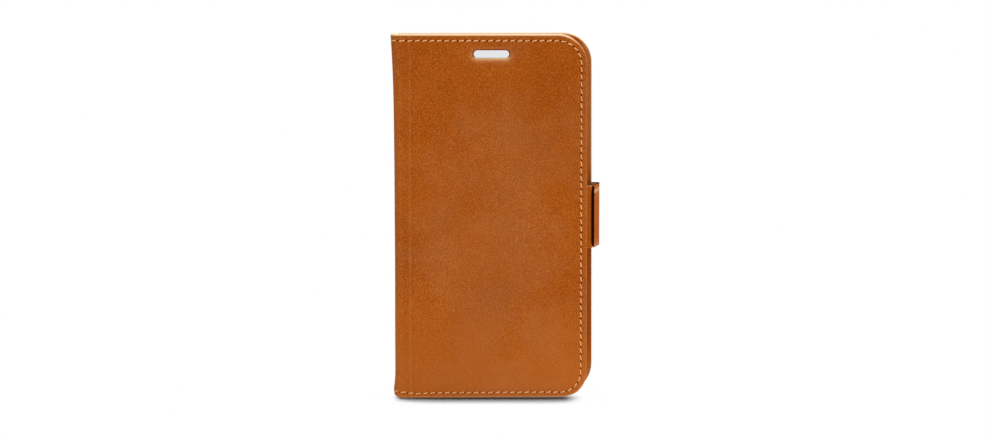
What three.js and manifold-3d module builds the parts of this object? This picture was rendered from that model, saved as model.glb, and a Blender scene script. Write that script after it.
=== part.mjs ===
// A folding leather phone wallet case: a stiffened back panel that carries an open phone tray,
// a spine, a front cover with card pockets, and a strap whose magnetic tongue tucks under the
// front cover. It stands upright as it is photographed: X to the right, the front cover faces -Y,
// Z is up, and all lengths are millimetres.

import * as THREE from "three";
import { mergeVertices } from "three/addons/utils/BufferGeometryUtils.js";
import Module from "manifold-3d";

const wasm = await Module();
wasm.setup();

// Driving dimensions: the folded case
const endMargin = 2.2; // tray's wall to both covers' top and bottom edges
const frontMargin = 2.1; // tray's wall to the front cover's open rim
const backOverhang = 2; // front cover's open rim to the back panel's
const cornerRadius = 12; // the covers' corners on the open side
const foldRadius = 2.4; // outside of each fold between a cover and the spine
const foldGap = 0.3; // between the spine's leather and each cover's
const foldZone = 6.5; // spine's outer face to the stiffening boards, so that the folds bend
const topFlare = 1.5; // how far the spine's top corner is drawn out
const bottomFlare = 0.6; // the same near its bottom corner
const bottomFlareShare = 0.02; // where the bottom flare is fullest, of the case's height
const flareFootShare = 0.055; // where the bottom flare has run out
const flareHeadShare = 0.8; // where the top flare begins
const topFlareShares = [
  [0.9, 0.45],
  [0.965, 0.65],
]; // places on the way up, of the height, and how much of the top flare each has

// Driving dimensions: plies
const leatherPly = 1.1;
const boardPly = 0.8;
const liningPly = 0.5;
const pocketPly = 0.45;
const padPly = 0.3;
const spineBoardPly = 0.6;
const spineLiningPly = 0.4;
const fitGap = 0.3; // round a piece that sits in a window or notch

// Driving dimensions: the phone that the tray holds, and the tray
const phoneWidth = 71.4;
const phoneHeight = 144.2;
const phoneDepth = 7.7;
const phoneCorner = 9;
const trayWall = 1.4;
const trayFloor = 1;
const trayGap = 1.2; // spine's lining to the tray's wall
const padMargin = 9; // phone's bay and camera opening to the adhesive pad
const padCorner = 3;
const pocketSlack = 0.4; // pockets to the tray's rim with the case closed

// Driving dimensions: openings
const slotWidth = 14.5;
const slotHeight = 3.4;
const slotDrop = 7.5; // cover's top edge to the slot's centre
const cameraWidth = 46;
const cameraHeight = 17.2;
const cameraRadius = 6;
const cameraDrop = 5.3; // back panel's top edge to the opening's top edge
const portWidth = 13;
const portDepth = 5;
const portRim = 1.2; // tray's rim to the port's edge
const speakerWidth = 11;
const speakerDepth = 2;
const speakerSpacing = 21; // port's centre to each speaker slit's centre
const buttonDepth = 5.2; // how deep the button gaps are cut into the tray's rim
const powerLength = 15;
const powerDrop = 43; // phone's top end to the power gap's centre
const volumeLength = 34;
const volumeDrop = 35;

// Driving dimensions: pockets
const pocketGap = 1.9; // tongue's inner end to the pockets
const pocketBase = 8; // table to the pockets' lower edge
const cardPockets = 3;
const cardPocketHeight = 92;
const moneyPocketHeight = 124;
const moneyPocketReach = 8.5; // spine's outer face to the money pocket's mouth
const cardMouthReach = 12; // the same, to the first card pocket's mouth
const cardStep = 6.5; // from one card pocket's mouth to the next
const pocketCorner = 3;

// Driving dimensions: strap
const strapHeight = 26;
const strapPly = 0.45;
const strapLiningPly = 0.35;
const strapBulge = 3.5; // back panel's rim to the strap's outermost fold
const strapLean = 12; // degrees by which the strap's side leans in towards the front
const anchorLength = 7.6; // how far the strap is let into the back panel
const tonguePly = 0.5;
const tongueLength = 14.7;
const tongueCornerOut = 1.6;
const tongueCornerIn = 4;
const tongueOverhang = 0.4; // strap's front fold to the tongue's facing
const tongueSetback = 1.6; // the tongue's backing stops this much short of the fold
const strapFoldGap = 0.1; // strap ply to a fold's axis
const magnetWidth = 7;
const magnetHeight = 16;
const magnetInset = 3; // tongue's inner end to the magnet
const keeperMargin = 1; // how far the keeper plate passes the magnet on each side

// Driving dimensions: seams
const seamInset = 2.2; // leather's edge to the thread
const seamStart = 3.2; // spine's outer face to the first stitch
const stitchPitch = 3;
const threadWidth = 0.6;
const threadHeight = 0.25;
const threadNeck = 0.25; // thread's width where it dives into a needle hole
const threadDip = 0.1; // thread's height there
const grooveGap = 0.15; // thread to its groove's walls and ends
const seamCorner = 2; // how sharply the pocket and tongue seams turn
const pocketSeamInset = 1.6;
const tongueSeamInset = 1.5;

const overrun = 1; // how far a cutting solid passes the face that it cuts
const arcSteps = 6;
const halfTurn = Math.PI;
const quarterTurn = halfTurn / 2;

// Where the plies lie, from the front face back
const coverPlies = leatherPly + boardPly + liningPly;
const pocketPlies = (cardPockets + 1) * pocketPly;
const caseDepth =
  2 * coverPlies + pocketPlies + pocketSlack + phoneDepth + trayFloor + padPly;
const frontFace = -caseDepth / 2;
const frontBoardFace = frontFace + leatherPly;
const frontLiningFace = frontBoardFace + boardPly;
const pocketFace = frontLiningFace + liningPly;
const trayRim = pocketFace + pocketPlies + pocketSlack;
const trayFloorFace = trayRim + phoneDepth;
const padFace = trayFloorFace + trayFloor;
const backLiningFace = padFace + padPly;
const backBoardFace = backLiningFace + liningPly;
const backLeatherFace = backBoardFace + boardPly;
const backFace = caseDepth / 2;

const trayLeft = leatherPly + spineBoardPly + spineLiningPly + trayGap;
const bayLeft = trayLeft + trayWall;
const bayRight = bayLeft + phoneWidth;
const trayRight = bayRight + trayWall;
const phoneCentre = (bayLeft + bayRight) / 2;
const trayBottom = endMargin;
const bayBottom = trayBottom + trayWall;
const bayTop = bayBottom + phoneHeight;
const trayTop = bayTop + trayWall;
const panelHeight = trayTop + endMargin;
const frontReach = trayRight + frontMargin;
const backReach = frontReach + backOverhang;
const strapReach = backReach + strapBulge;
const coverLeft = foldRadius + foldGap;
const strapMiddle = panelHeight / 2;
const strapBottom = strapMiddle - strapHeight / 2;
const strapTop = strapMiddle + strapHeight / 2;

// The strap's two folds are vertical lines in its outer face.
const strapThickness = strapPly + strapLiningPly;
const rearFold = new THREE.Vector2(strapReach, backLeatherFace);
const tongueMiddle = (pocketFace + trayRim) / 2;
const tongueCoreFace = tongueMiddle - strapThickness / 2;
const leanSlope = Math.tan((strapLean / 180) * halfTurn);
const frontFold = new THREE.Vector2(
  rearFold.x - (rearFold.y - tongueCoreFace) * leanSlope,
  tongueCoreFace,
);
const tongueRight = frontFold.x - tongueOverhang;
const tongueLeft = tongueRight - tongueLength;
const magnetLeft = tongueLeft + magnetInset;
const magnetBottom = strapMiddle - magnetHeight / 2;
const magnetTop = strapMiddle + magnetHeight / 2;
const pocketRight = tongueLeft - pocketGap;

// Colours and finishes
const tanLeather = { color: 0xa8571e, roughness: 0.55, metalness: 0 };
const tanEdge = { color: 0x4a2412, roughness: 0.5, metalness: 0 };
const suede = { color: 0x8a5630, roughness: 0.95, metalness: 0 };
const greyBoard = { color: 0x8d8a84, roughness: 0.9, metalness: 0 };
const thread = { color: 0xe0a878, roughness: 0.7, metalness: 0 };
const darkShell = { color: 0x2b211b, roughness: 0.45, metalness: 0 };
const steel = { color: 0xb9bcc0, roughness: 0.35, metalness: 1 };
const magnetPlating = { color: 0x9a9da1, roughness: 0.25, metalness: 1 };
const foam = { color: 0x3a3a3c, roughness: 0.9, metalness: 0 };

// An upright plate outline, with its own radius on the spine side and on the open side.
function plateOutline(left, right, bottom, top, leftRadius, rightRadius) {
  const shape = new THREE.Shape();
  shape.moveTo(left + leftRadius, bottom);
  shape.lineTo(right - rightRadius, bottom);
  if (rightRadius > 0)
    shape.absarc(right - rightRadius, bottom + rightRadius, rightRadius, -quarterTurn, 0);
  shape.lineTo(right, top - rightRadius);
  if (rightRadius > 0)
    shape.absarc(right - rightRadius, top - rightRadius, rightRadius, 0, quarterTurn);
  shape.lineTo(left + leftRadius, top);
  if (leftRadius > 0)
    shape.absarc(left + leftRadius, top - leftRadius, leftRadius, quarterTurn, halfTurn);
  shape.lineTo(left, bottom + leftRadius);
  if (leftRadius > 0)
    shape.absarc(left + leftRadius, bottom + leftRadius, leftRadius, halfTurn, 3 * quarterTurn);
  return shape;
}

// An outline in X and Z made solid from one depth to another.
function upright(shape, near, far) {
  const solid = new THREE.ExtrudeGeometry(shape, {
    depth: far - near,
    bevelEnabled: false,
    curveSegments: arcSteps,
  });
  return solid.rotateX(quarterTurn).translate(0, far, 0);
}

// An outline seen from above made solid from one height to another.
function column(points, bottom, top) {
  const solid = new THREE.ExtrudeGeometry(new THREE.Shape(points), {
    depth: top - bottom,
    bevelEnabled: false,
  });
  return solid.translate(0, 0, bottom);
}

// A square-cornered block given by its two corners.
function block(left, right, near, far, bottom, top) {
  return upright(plateOutline(left, right, bottom, top, 0, 0), near, far);
}

function solidOf(geometry) {
  const bare = geometry.index ? geometry.toNonIndexed() : geometry.clone();
  bare.deleteAttribute("normal");
  bare.deleteAttribute("uv");
  const merged = mergeVertices(bare);
  return new wasm.Manifold(
    new wasm.Mesh({
      numProp: 3,
      vertProperties: merged.attributes.position.array,
      triVerts: new Uint32Array(merged.index.array),
    }),
  );
}

function geometryOf(solid) {
  const mesh = solid.getMesh();
  const geometry = new THREE.BufferGeometry();
  geometry.setAttribute("position", new THREE.BufferAttribute(mesh.vertProperties, 3));
  geometry.setIndex(new THREE.BufferAttribute(mesh.triVerts, 1));
  geometry.computeVertexNormals();
  return geometry;
}

function cut(geometry, ...tools) {
  return geometryOf(tools.reduce((rest, tool) => rest.subtract(solidOf(tool)), solidOf(geometry)));
}

// Rings of points with one count, each joined to the next and closed at both ends.
function skin(rings) {
  const count = rings[0].length;
  const corners = rings.flat();
  const faces = [];
  for (let ring = 0; ring + 1 < rings.length; ring += 1) {
    for (let i = 0; i < count; i += 1) {
      const a = ring * count + i;
      const b = ring * count + ((i + 1) % count);
      faces.push(a, b, b + count, a, b + count, a + count);
    }
  }
  const last = (rings.length - 1) * count;
  const flat = rings.map((ring) => ring.map((p) => new THREE.Vector2(p.u, p.v)));
  for (const [a, b, c] of THREE.ShapeUtils.triangulateShape(flat[0], []))
    faces.push(c, b, a);
  for (const [a, b, c] of THREE.ShapeUtils.triangulateShape(flat[rings.length - 1], []))
    faces.push(last + a, last + b, last + c);
  const geometry = new THREE.BufferGeometry();
  const places = corners.flatMap((p) => [p.x, p.y, p.z]);
  geometry.setAttribute("position", new THREE.Float32BufferAttribute(places, 3));
  geometry.setIndex(faces);
  geometry.computeVertexNormals();
  return geometry;
}

// A strip along a line in a cover's face, standing on base. sizeAt gives each station's half
// width and height. outward is -1 on a face that looks to the front and 1 on one that looks back.
function strip(stations, base, outward, sizeAt) {
  const rings = stations.map((place, i) => {
    const before = stations[Math.max(0, i - 1)];
    const after = stations[Math.min(stations.length - 1, i + 1)];
    const along = after.clone().sub(before).normalize();
    const [half, height] = sizeAt(i);
    return [
      [-half, 0],
      [half, 0],
      [half, height],
      [-half, height],
    ].map(([side, lift]) => ({
      x: place.x + outward * along.y * side,
      y: base + outward * lift,
      z: place.y - outward * along.x * side,
      u: side,
      v: lift,
    }));
  });
  return skin(rings);
}

// A leather with the groove that keeps its seam's thread level with its face.
function grooved(leather, path, face, outward) {
  const base = face - outward * threadHeight;
  const half = threadWidth / 2 + grooveGap;
  const groove = strip(path.getPoints(2 * arcSteps), base, outward, () => [
    half,
    threadHeight + overrun,
  ]);
  return cut(leather, groove);
}

// Thread that lies in its groove: full over each stitch, thin at each needle hole.
function seamThread(path, face, outward) {
  const length = path.getLength();
  const stitches = Math.max(1, Math.round(length / stitchPitch));
  const margin = grooveGap / length;
  const stations = Array.from({ length: 2 * stitches + 1 }, (_, i) =>
    path.getPointAt(margin + ((1 - 2 * margin) * i) / (2 * stitches)),
  );
  return strip(stations, face - outward * threadHeight, outward, (i) =>
    i % 2 === 1 ? [threadWidth / 2, threadHeight] : [threadNeck / 2, threadDip],
  );
}

// The line of a perimeter seam: along the top, round the open side and back along the bottom.
function perimeterPath(reach) {
  const radius = cornerRadius - seamInset;
  const right = reach - seamInset;
  const path = new THREE.Path();
  path.moveTo(seamStart, panelHeight - seamInset);
  path.lineTo(right - radius, panelHeight - seamInset);
  path.absarc(right - radius, panelHeight - seamInset - radius, radius, quarterTurn, 0, true);
  path.lineTo(right, seamInset + radius);
  path.absarc(right - radius, seamInset + radius, radius, 0, -quarterTurn, true);
  path.lineTo(seamStart, seamInset);
  return path;
}

// Three sides of a rectangle with rounded corners, open on the side that it starts from.
function threeSides(from, to, bottom, top) {
  const turn = Math.sign(to - from) * seamCorner;
  const path = new THREE.Path();
  path.moveTo(from, top);
  path.lineTo(to - turn, top);
  path.quadraticCurveTo(to, top, to, top - seamCorner);
  path.lineTo(to, bottom + seamCorner);
  path.quadraticCurveTo(to, bottom, to - turn, bottom);
  path.lineTo(from, bottom);
  return path;
}

function add(group, name, geometry, finish) {
  const mesh = new THREE.Mesh(geometry, new THREE.MeshStandardMaterial(finish));
  mesh.name = name;
  group.add(mesh);
}

// The long round-ended slot for the phone's earpiece.
function slotCutter(far) {
  const middle = panelHeight - slotDrop;
  const half = slotHeight / 2;
  return upright(
    plateOutline(
      phoneCentre - slotWidth / 2,
      phoneCentre + slotWidth / 2,
      middle - half,
      middle + half,
      half,
      half,
    ),
    frontFace - overrun,
    far + overrun,
  );
}

function cameraCutter(near) {
  const top = panelHeight - cameraDrop;
  return upright(
    plateOutline(
      phoneCentre - cameraWidth / 2,
      phoneCentre + cameraWidth / 2,
      top - cameraHeight,
      top,
      cameraRadius,
      cameraRadius,
    ),
    near - overrun,
    backFace + overrun,
  );
}

function coverPlate(left, reach, near, far) {
  return upright(plateOutline(left, reach, 0, panelHeight, 0, cornerRadius), near, far);
}

function backPanel() {
  const group = new THREE.Group();
  const seam = perimeterPath(backReach);
  const plate = coverPlate(coverLeft, backReach, backLeatherFace, backFace);
  const leather = grooved(cut(plate, cameraCutter(backLeatherFace)), seam, backFace, 1);
  add(group, "back_leather", leather, tanLeather);
  add(group, "back_stitching", seamThread(seam, backFace, 1), thread);

  const notch = block(
    backReach - anchorLength - fitGap,
    backReach + overrun,
    backBoardFace - overrun,
    backLeatherFace + overrun,
    strapBottom - fitGap,
    strapTop + fitGap,
  );
  const board = coverPlate(foldZone, backReach, backBoardFace, backLeatherFace);
  add(group, "back_board", cut(board, cameraCutter(backBoardFace), notch), greyBoard);

  const lining = coverPlate(coverLeft, backReach, backLiningFace, backBoardFace);
  add(group, "back_lining", cut(lining, cameraCutter(backLiningFace)), suede);

  const anchor = block(
    backReach - anchorLength,
    rearFold.x - strapFoldGap,
    backBoardFace,
    backLeatherFace,
    strapBottom,
    strapTop,
  );
  add(group, "strap_anchor", anchor, tanLeather);
  return group;
}

function phoneTray() {
  const group = new THREE.Group();
  const shell = upright(
    plateOutline(
      trayLeft,
      trayRight,
      trayBottom,
      trayTop,
      phoneCorner + trayWall,
      phoneCorner + trayWall,
    ),
    trayRim,
    padFace,
  );
  const bay = upright(
    plateOutline(bayLeft, bayRight, bayBottom, bayTop, phoneCorner, phoneCorner),
    trayRim - overrun,
    trayFloorFace,
  );
  const port = block(
    phoneCentre - portWidth / 2,
    phoneCentre + portWidth / 2,
    trayRim + portRim,
    trayRim + portRim + portDepth,
    trayBottom - overrun,
    bayBottom + overrun,
  );
  const slits = [-1, 1].map((side) => {
    const middle = phoneCentre + side * speakerSpacing;
    const depth = trayRim + portRim + portDepth / 2;
    return block(
      middle - speakerWidth / 2,
      middle + speakerWidth / 2,
      depth - speakerDepth / 2,
      depth + speakerDepth / 2,
      trayBottom - overrun,
      bayBottom + overrun,
    );
  });
  const power = block(
    bayRight - overrun,
    trayRight + overrun,
    trayRim - overrun,
    trayRim + buttonDepth,
    bayTop - powerDrop - powerLength / 2,
    bayTop - powerDrop + powerLength / 2,
  );
  const volume = block(
    trayLeft - overrun,
    bayLeft + overrun,
    trayRim - overrun,
    trayRim + buttonDepth,
    bayTop - volumeDrop - volumeLength / 2,
    bayTop - volumeDrop + volumeLength / 2,
  );
  const tray = cut(shell, bay, cameraCutter(trayFloorFace), port, ...slits, power, volume);
  add(group, "phone_tray", tray, darkShell);

  const padTop = panelHeight - cameraDrop - cameraHeight - padMargin;
  const pad = upright(
    plateOutline(
      bayLeft + padMargin,
      bayRight - padMargin,
      bayBottom + padMargin,
      padTop,
      padCorner,
      padCorner,
    ),
    padFace,
    backLiningFace,
  );
  add(group, "adhesive_pad", pad, foam);
  return group;
}

// The spine's leather folds into a channel. Its web is drawn out to the left at both ends.
function spine() {
  const group = new THREE.Group();
  const flares = [
    [0, 0],
    [bottomFlareShare * panelHeight, bottomFlare],
    [flareFootShare * panelHeight, 0],
    [flareHeadShare * panelHeight, 0],
    ...topFlareShares.map(([height, drawn]) => [height * panelHeight, drawn * topFlare]),
    [panelHeight, topFlare],
  ];
  const bend = arcSteps / 2;
  const arc = (radius, side, i) => {
    const angle = (i / bend) * quarterTurn;
    return [
      foldRadius - radius * Math.sin(angle),
      side * (backFace - foldRadius + radius * Math.cos(angle)),
    ];
  };
  const steps = Array.from({ length: bend + 1 }, (_, i) => i);
  const back = [...steps].reverse();
  const inside = foldRadius - leatherPly;
  const profile = [
    ...back.map((i) => arc(foldRadius, -1, bend - i)),
    ...steps.map((i) => arc(foldRadius, 1, bend - i)),
    ...back.map((i) => arc(inside, 1, bend - i)),
    ...steps.map((i) => arc(inside, -1, bend - i)),
  ].reverse();
  const rings = flares.map(([height, flare]) =>
    profile.map(([x, y]) => {
      const drawn = flare * (1 - x / foldRadius);
      return { x: x - drawn, y, z: height, u: x - drawn, v: y };
    }),
  );
  add(group, "spine_leather", skin(rings), tanLeather);

  const half = backFace - foldRadius - fitGap;
  const boardTop = flareHeadShare * panelHeight;
  const boardBottom = flareFootShare * panelHeight;
  const stiffener = block(
    leatherPly,
    leatherPly + spineBoardPly,
    -half,
    half,
    boardBottom,
    boardTop,
  );
  add(group, "spine_stiffener", stiffener, greyBoard);
  const lining = block(
    leatherPly + spineBoardPly,
    leatherPly + spineBoardPly + spineLiningPly,
    -half,
    half,
    boardBottom,
    boardTop,
  );
  add(group, "spine_lining", lining, suede);
  return group;
}

function frontCover() {
  const group = new THREE.Group();
  const seam = perimeterPath(frontReach);
  const plate = coverPlate(coverLeft, frontReach, frontFace, frontBoardFace);
  const leather = grooved(cut(plate, slotCutter(frontBoardFace)), seam, frontFace, -1);
  add(group, "front_leather", leather, tanLeather);
  add(group, "front_stitching", seamThread(seam, frontFace, -1), thread);

  const keeperLeft = magnetLeft - keeperMargin;
  const keeperRight = magnetLeft + magnetWidth + keeperMargin;
  const keeperBottom = magnetBottom - keeperMargin;
  const keeperTop = magnetTop + keeperMargin;
  const window = block(
    keeperLeft - fitGap,
    keeperRight + fitGap,
    frontBoardFace - overrun,
    frontLiningFace + overrun,
    keeperBottom - fitGap,
    keeperTop + fitGap,
  );
  const board = coverPlate(foldZone, frontReach, frontBoardFace, frontLiningFace);
  add(group, "front_board", cut(board, slotCutter(frontLiningFace), window), greyBoard);
  const keeper = block(
    keeperLeft,
    keeperRight,
    frontBoardFace,
    frontLiningFace,
    keeperBottom,
    keeperTop,
  );
  add(group, "keeper_plate", keeper, steel);

  const lining = coverPlate(coverLeft, frontReach, frontLiningFace, pocketFace);
  add(group, "front_lining", cut(lining, slotCutter(pocketFace)), suede);
  return group;
}

function pockets() {
  const group = new THREE.Group();
  const money = upright(
    plateOutline(
      moneyPocketReach,
      pocketRight,
      pocketBase,
      pocketBase + moneyPocketHeight,
      0,
      pocketCorner,
    ),
    pocketFace,
    pocketFace + pocketPly,
  );
  add(group, "money_pocket", money, suede);
  const cardTop = pocketBase + cardPocketHeight;
  const outerFace = pocketFace + pocketPlies;
  const seam = threeSides(
    cardMouthReach + (cardPockets - 1) * cardStep + pocketSeamInset,
    pocketRight - pocketSeamInset,
    pocketBase + pocketSeamInset,
    cardTop - pocketSeamInset,
  );
  for (let number = 1; number <= cardPockets; number += 1) {
    const near = pocketFace + number * pocketPly;
    const mouth = cardMouthReach + (number - 1) * cardStep;
    const outline = plateOutline(mouth, pocketRight, pocketBase, cardTop, 0, pocketCorner);
    const plate = upright(outline, near, near + pocketPly);
    const panel = number === cardPockets ? grooved(plate, seam, outerFace, 1) : plate;
    add(group, "card_pocket_" + number, panel, tanLeather);
  }
  add(group, "pocket_stitching", seamThread(seam, outerFace, 1), thread);
  return group;
}

// The strap's side is two plies that lean in from the rear fold to the front fold.
function strapSide() {
  const group = new THREE.Group();
  const far = backBoardFace - fitGap;
  const near = frontFold.y + strapThickness + fitGap;
  const across = Math.hypot(1, leanSlope);
  const outerAt = (depth) => rearFold.x - (rearFold.y - depth) * leanSlope;
  const ply = (outer, inner) =>
    column(
      [
        new THREE.Vector2(outerAt(near) - inner * across, near),
        new THREE.Vector2(outerAt(near) - outer * across, near),
        new THREE.Vector2(outerAt(far) - outer * across, far),
        new THREE.Vector2(outerAt(far) - inner * across, far),
      ],
      strapBottom,
      strapTop,
    );
  add(group, "strap_side_leather", ply(0, strapPly), tanLeather);
  add(group, "strap_side_lining", ply(strapPly, strapThickness), tanEdge);
  return group;
}

function strapTongue() {
  const group = new THREE.Group();
  const coreFace = tongueCoreFace;
  const backingFace = coreFace + strapThickness;
  const plate = (right, near, far) =>
    upright(
      plateOutline(tongueLeft, right, strapBottom, strapTop, tongueCornerIn, tongueCornerOut),
      near,
      far,
    );
  const facing = plate(tongueRight, coreFace - tonguePly, coreFace);
  add(group, "tongue_facing", facing, tanLeather);
  const outerFace = backingFace + tonguePly;
  const seam = threeSides(
    frontFold.x - tongueSetback - tongueSeamInset,
    tongueLeft + tongueSeamInset,
    strapBottom + tongueSeamInset,
    strapTop - tongueSeamInset,
  );
  const backing = plate(frontFold.x - tongueSetback, backingFace, outerFace);
  add(group, "tongue_backing", grooved(backing, seam, outerFace, 1), tanLeather);
  add(group, "tongue_stitching", seamThread(seam, outerFace, 1), thread);

  const window = block(
    magnetLeft - fitGap,
    magnetLeft + magnetWidth + fitGap,
    coreFace - overrun,
    backingFace + overrun,
    magnetBottom - fitGap,
    magnetTop + fitGap,
  );
  const core = plate(frontFold.x - strapFoldGap, coreFace, backingFace);
  add(group, "tongue_core", cut(core, window), tanEdge);
  const magnet = block(
    magnetLeft,
    magnetLeft + magnetWidth,
    coreFace,
    backingFace,
    magnetBottom,
    magnetTop,
  );
  add(group, "tongue_magnet", magnet, magnetPlating);
  return group;
}

// The origin is under the middle of the whole case, strap and drawn-out corner included.
const walletCase = new THREE.Group();
walletCase.add(backPanel(), phoneTray(), spine(), frontCover(), pockets());
walletCase.add(strapSide(), strapTongue());
walletCase.position.x = (topFlare - strapReach) / 2;

export default walletCase;
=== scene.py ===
import math

import bmesh
import bpy
import numpy as np
from bpy.props import FloatProperty, FloatVectorProperty, IntProperty, PointerProperty
from mathutils import Matrix, Vector, noise


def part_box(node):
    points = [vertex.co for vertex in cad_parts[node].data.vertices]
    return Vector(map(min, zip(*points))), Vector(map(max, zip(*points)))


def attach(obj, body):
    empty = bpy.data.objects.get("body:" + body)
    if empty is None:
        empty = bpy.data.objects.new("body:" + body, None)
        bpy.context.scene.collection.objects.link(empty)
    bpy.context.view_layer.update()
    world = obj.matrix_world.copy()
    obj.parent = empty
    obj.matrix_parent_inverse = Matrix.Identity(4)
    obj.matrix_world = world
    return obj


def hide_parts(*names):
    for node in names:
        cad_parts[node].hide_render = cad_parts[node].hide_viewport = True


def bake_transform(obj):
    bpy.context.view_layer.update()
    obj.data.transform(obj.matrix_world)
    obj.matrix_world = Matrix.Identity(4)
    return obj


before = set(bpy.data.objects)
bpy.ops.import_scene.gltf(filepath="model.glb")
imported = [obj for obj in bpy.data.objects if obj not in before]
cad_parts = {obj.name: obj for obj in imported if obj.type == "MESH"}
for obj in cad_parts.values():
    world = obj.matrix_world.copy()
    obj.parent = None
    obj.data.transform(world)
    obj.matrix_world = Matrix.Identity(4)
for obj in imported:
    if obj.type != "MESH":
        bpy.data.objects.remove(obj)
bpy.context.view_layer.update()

bl_info = {
    "name": "Folding Leather Phone Wallet",
    "version": (1, 0, 0),
    "blender": (4, 5, 0),
    "location": "View3D > Sidebar > Phone Wallet",
    "description": "Sewn tan leather, suede lining and a moulded tray around the packed phone wallet case",
    "category": "Add Mesh",
}

MM = 0.001

# Places that the frame gives. The spine's outer face lies one leather ply before its stiffener.
SPINE_PLY = 1.1 * MM
SPINE_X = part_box("spine_stiffener")[0].x - SPINE_PLY
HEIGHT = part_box("front_leather")[1].z
FRONT_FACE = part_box("front_leather")[0].y
BACK_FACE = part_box("back_leather")[1].y
HALF_DEPTH = (BACK_FACE - FRONT_FACE) / 2
FRONT_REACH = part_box("front_leather")[1].x - SPINE_X
BACK_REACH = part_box("back_leather")[1].x - SPINE_X
COVER_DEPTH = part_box("front_lining")[1].y - FRONT_FACE
FRONT, BACK = -1, 1
QUARTER = math.pi / 2
TINY = 1e-6

# The photograph, in its pixels
PHOTO_WIDTH = 990
CASE_LEFT_PX = 394.55
PX = 0.4138 * MM

# Spacing of the grid lines in the hides and in the linings
SPINE_STEP = 1.6 * MM
FOLD_STEP, LINING_FOLD_STEP, LINING_HINGE_STEP = 0.42 * MM, 0.5 * MM, 0.8 * MM
FACE_STEP, LINING_STEP = 2.6 * MM, 3.4 * MM
LEAST_STEP, LEAST_LINING_STEP = 0.701 * MM, 0.8 * MM
HINGE_END = 9.5 * MM  # spine's outer face to the last of the fine lines
RIM_END = 4.2 * MM  # rim to the last of the fine lines


def linear(hexcode):
    """An sRGB hex colour as the linear values that Blender's colour properties hold."""
    parts = [int(hexcode[i : i + 2], 16) / 255 for i in (1, 3, 5)]
    return [c / 12.92 if c <= 0.04045 else ((c + 0.055) / 1.055) ** 2.4 for c in parts]


def clamp(value):
    return max(0.0, min(1.0, value))


def bell(value, middle, width):
    """A smooth bump, 1 at the middle, that falls off over the width on both sides."""
    return math.exp(-(((value - middle) / width) ** 2))


def length(name, description, millimetres):
    return FloatProperty(
        name=name, description=description, default=millimetres * MM, unit="LENGTH", subtype="DISTANCE"
    )


def colour(name, description, hexcode):
    return FloatVectorProperty(
        name=name, description=description, default=linear(hexcode), size=3, min=0, max=1, subtype="COLOR"
    )


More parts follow.
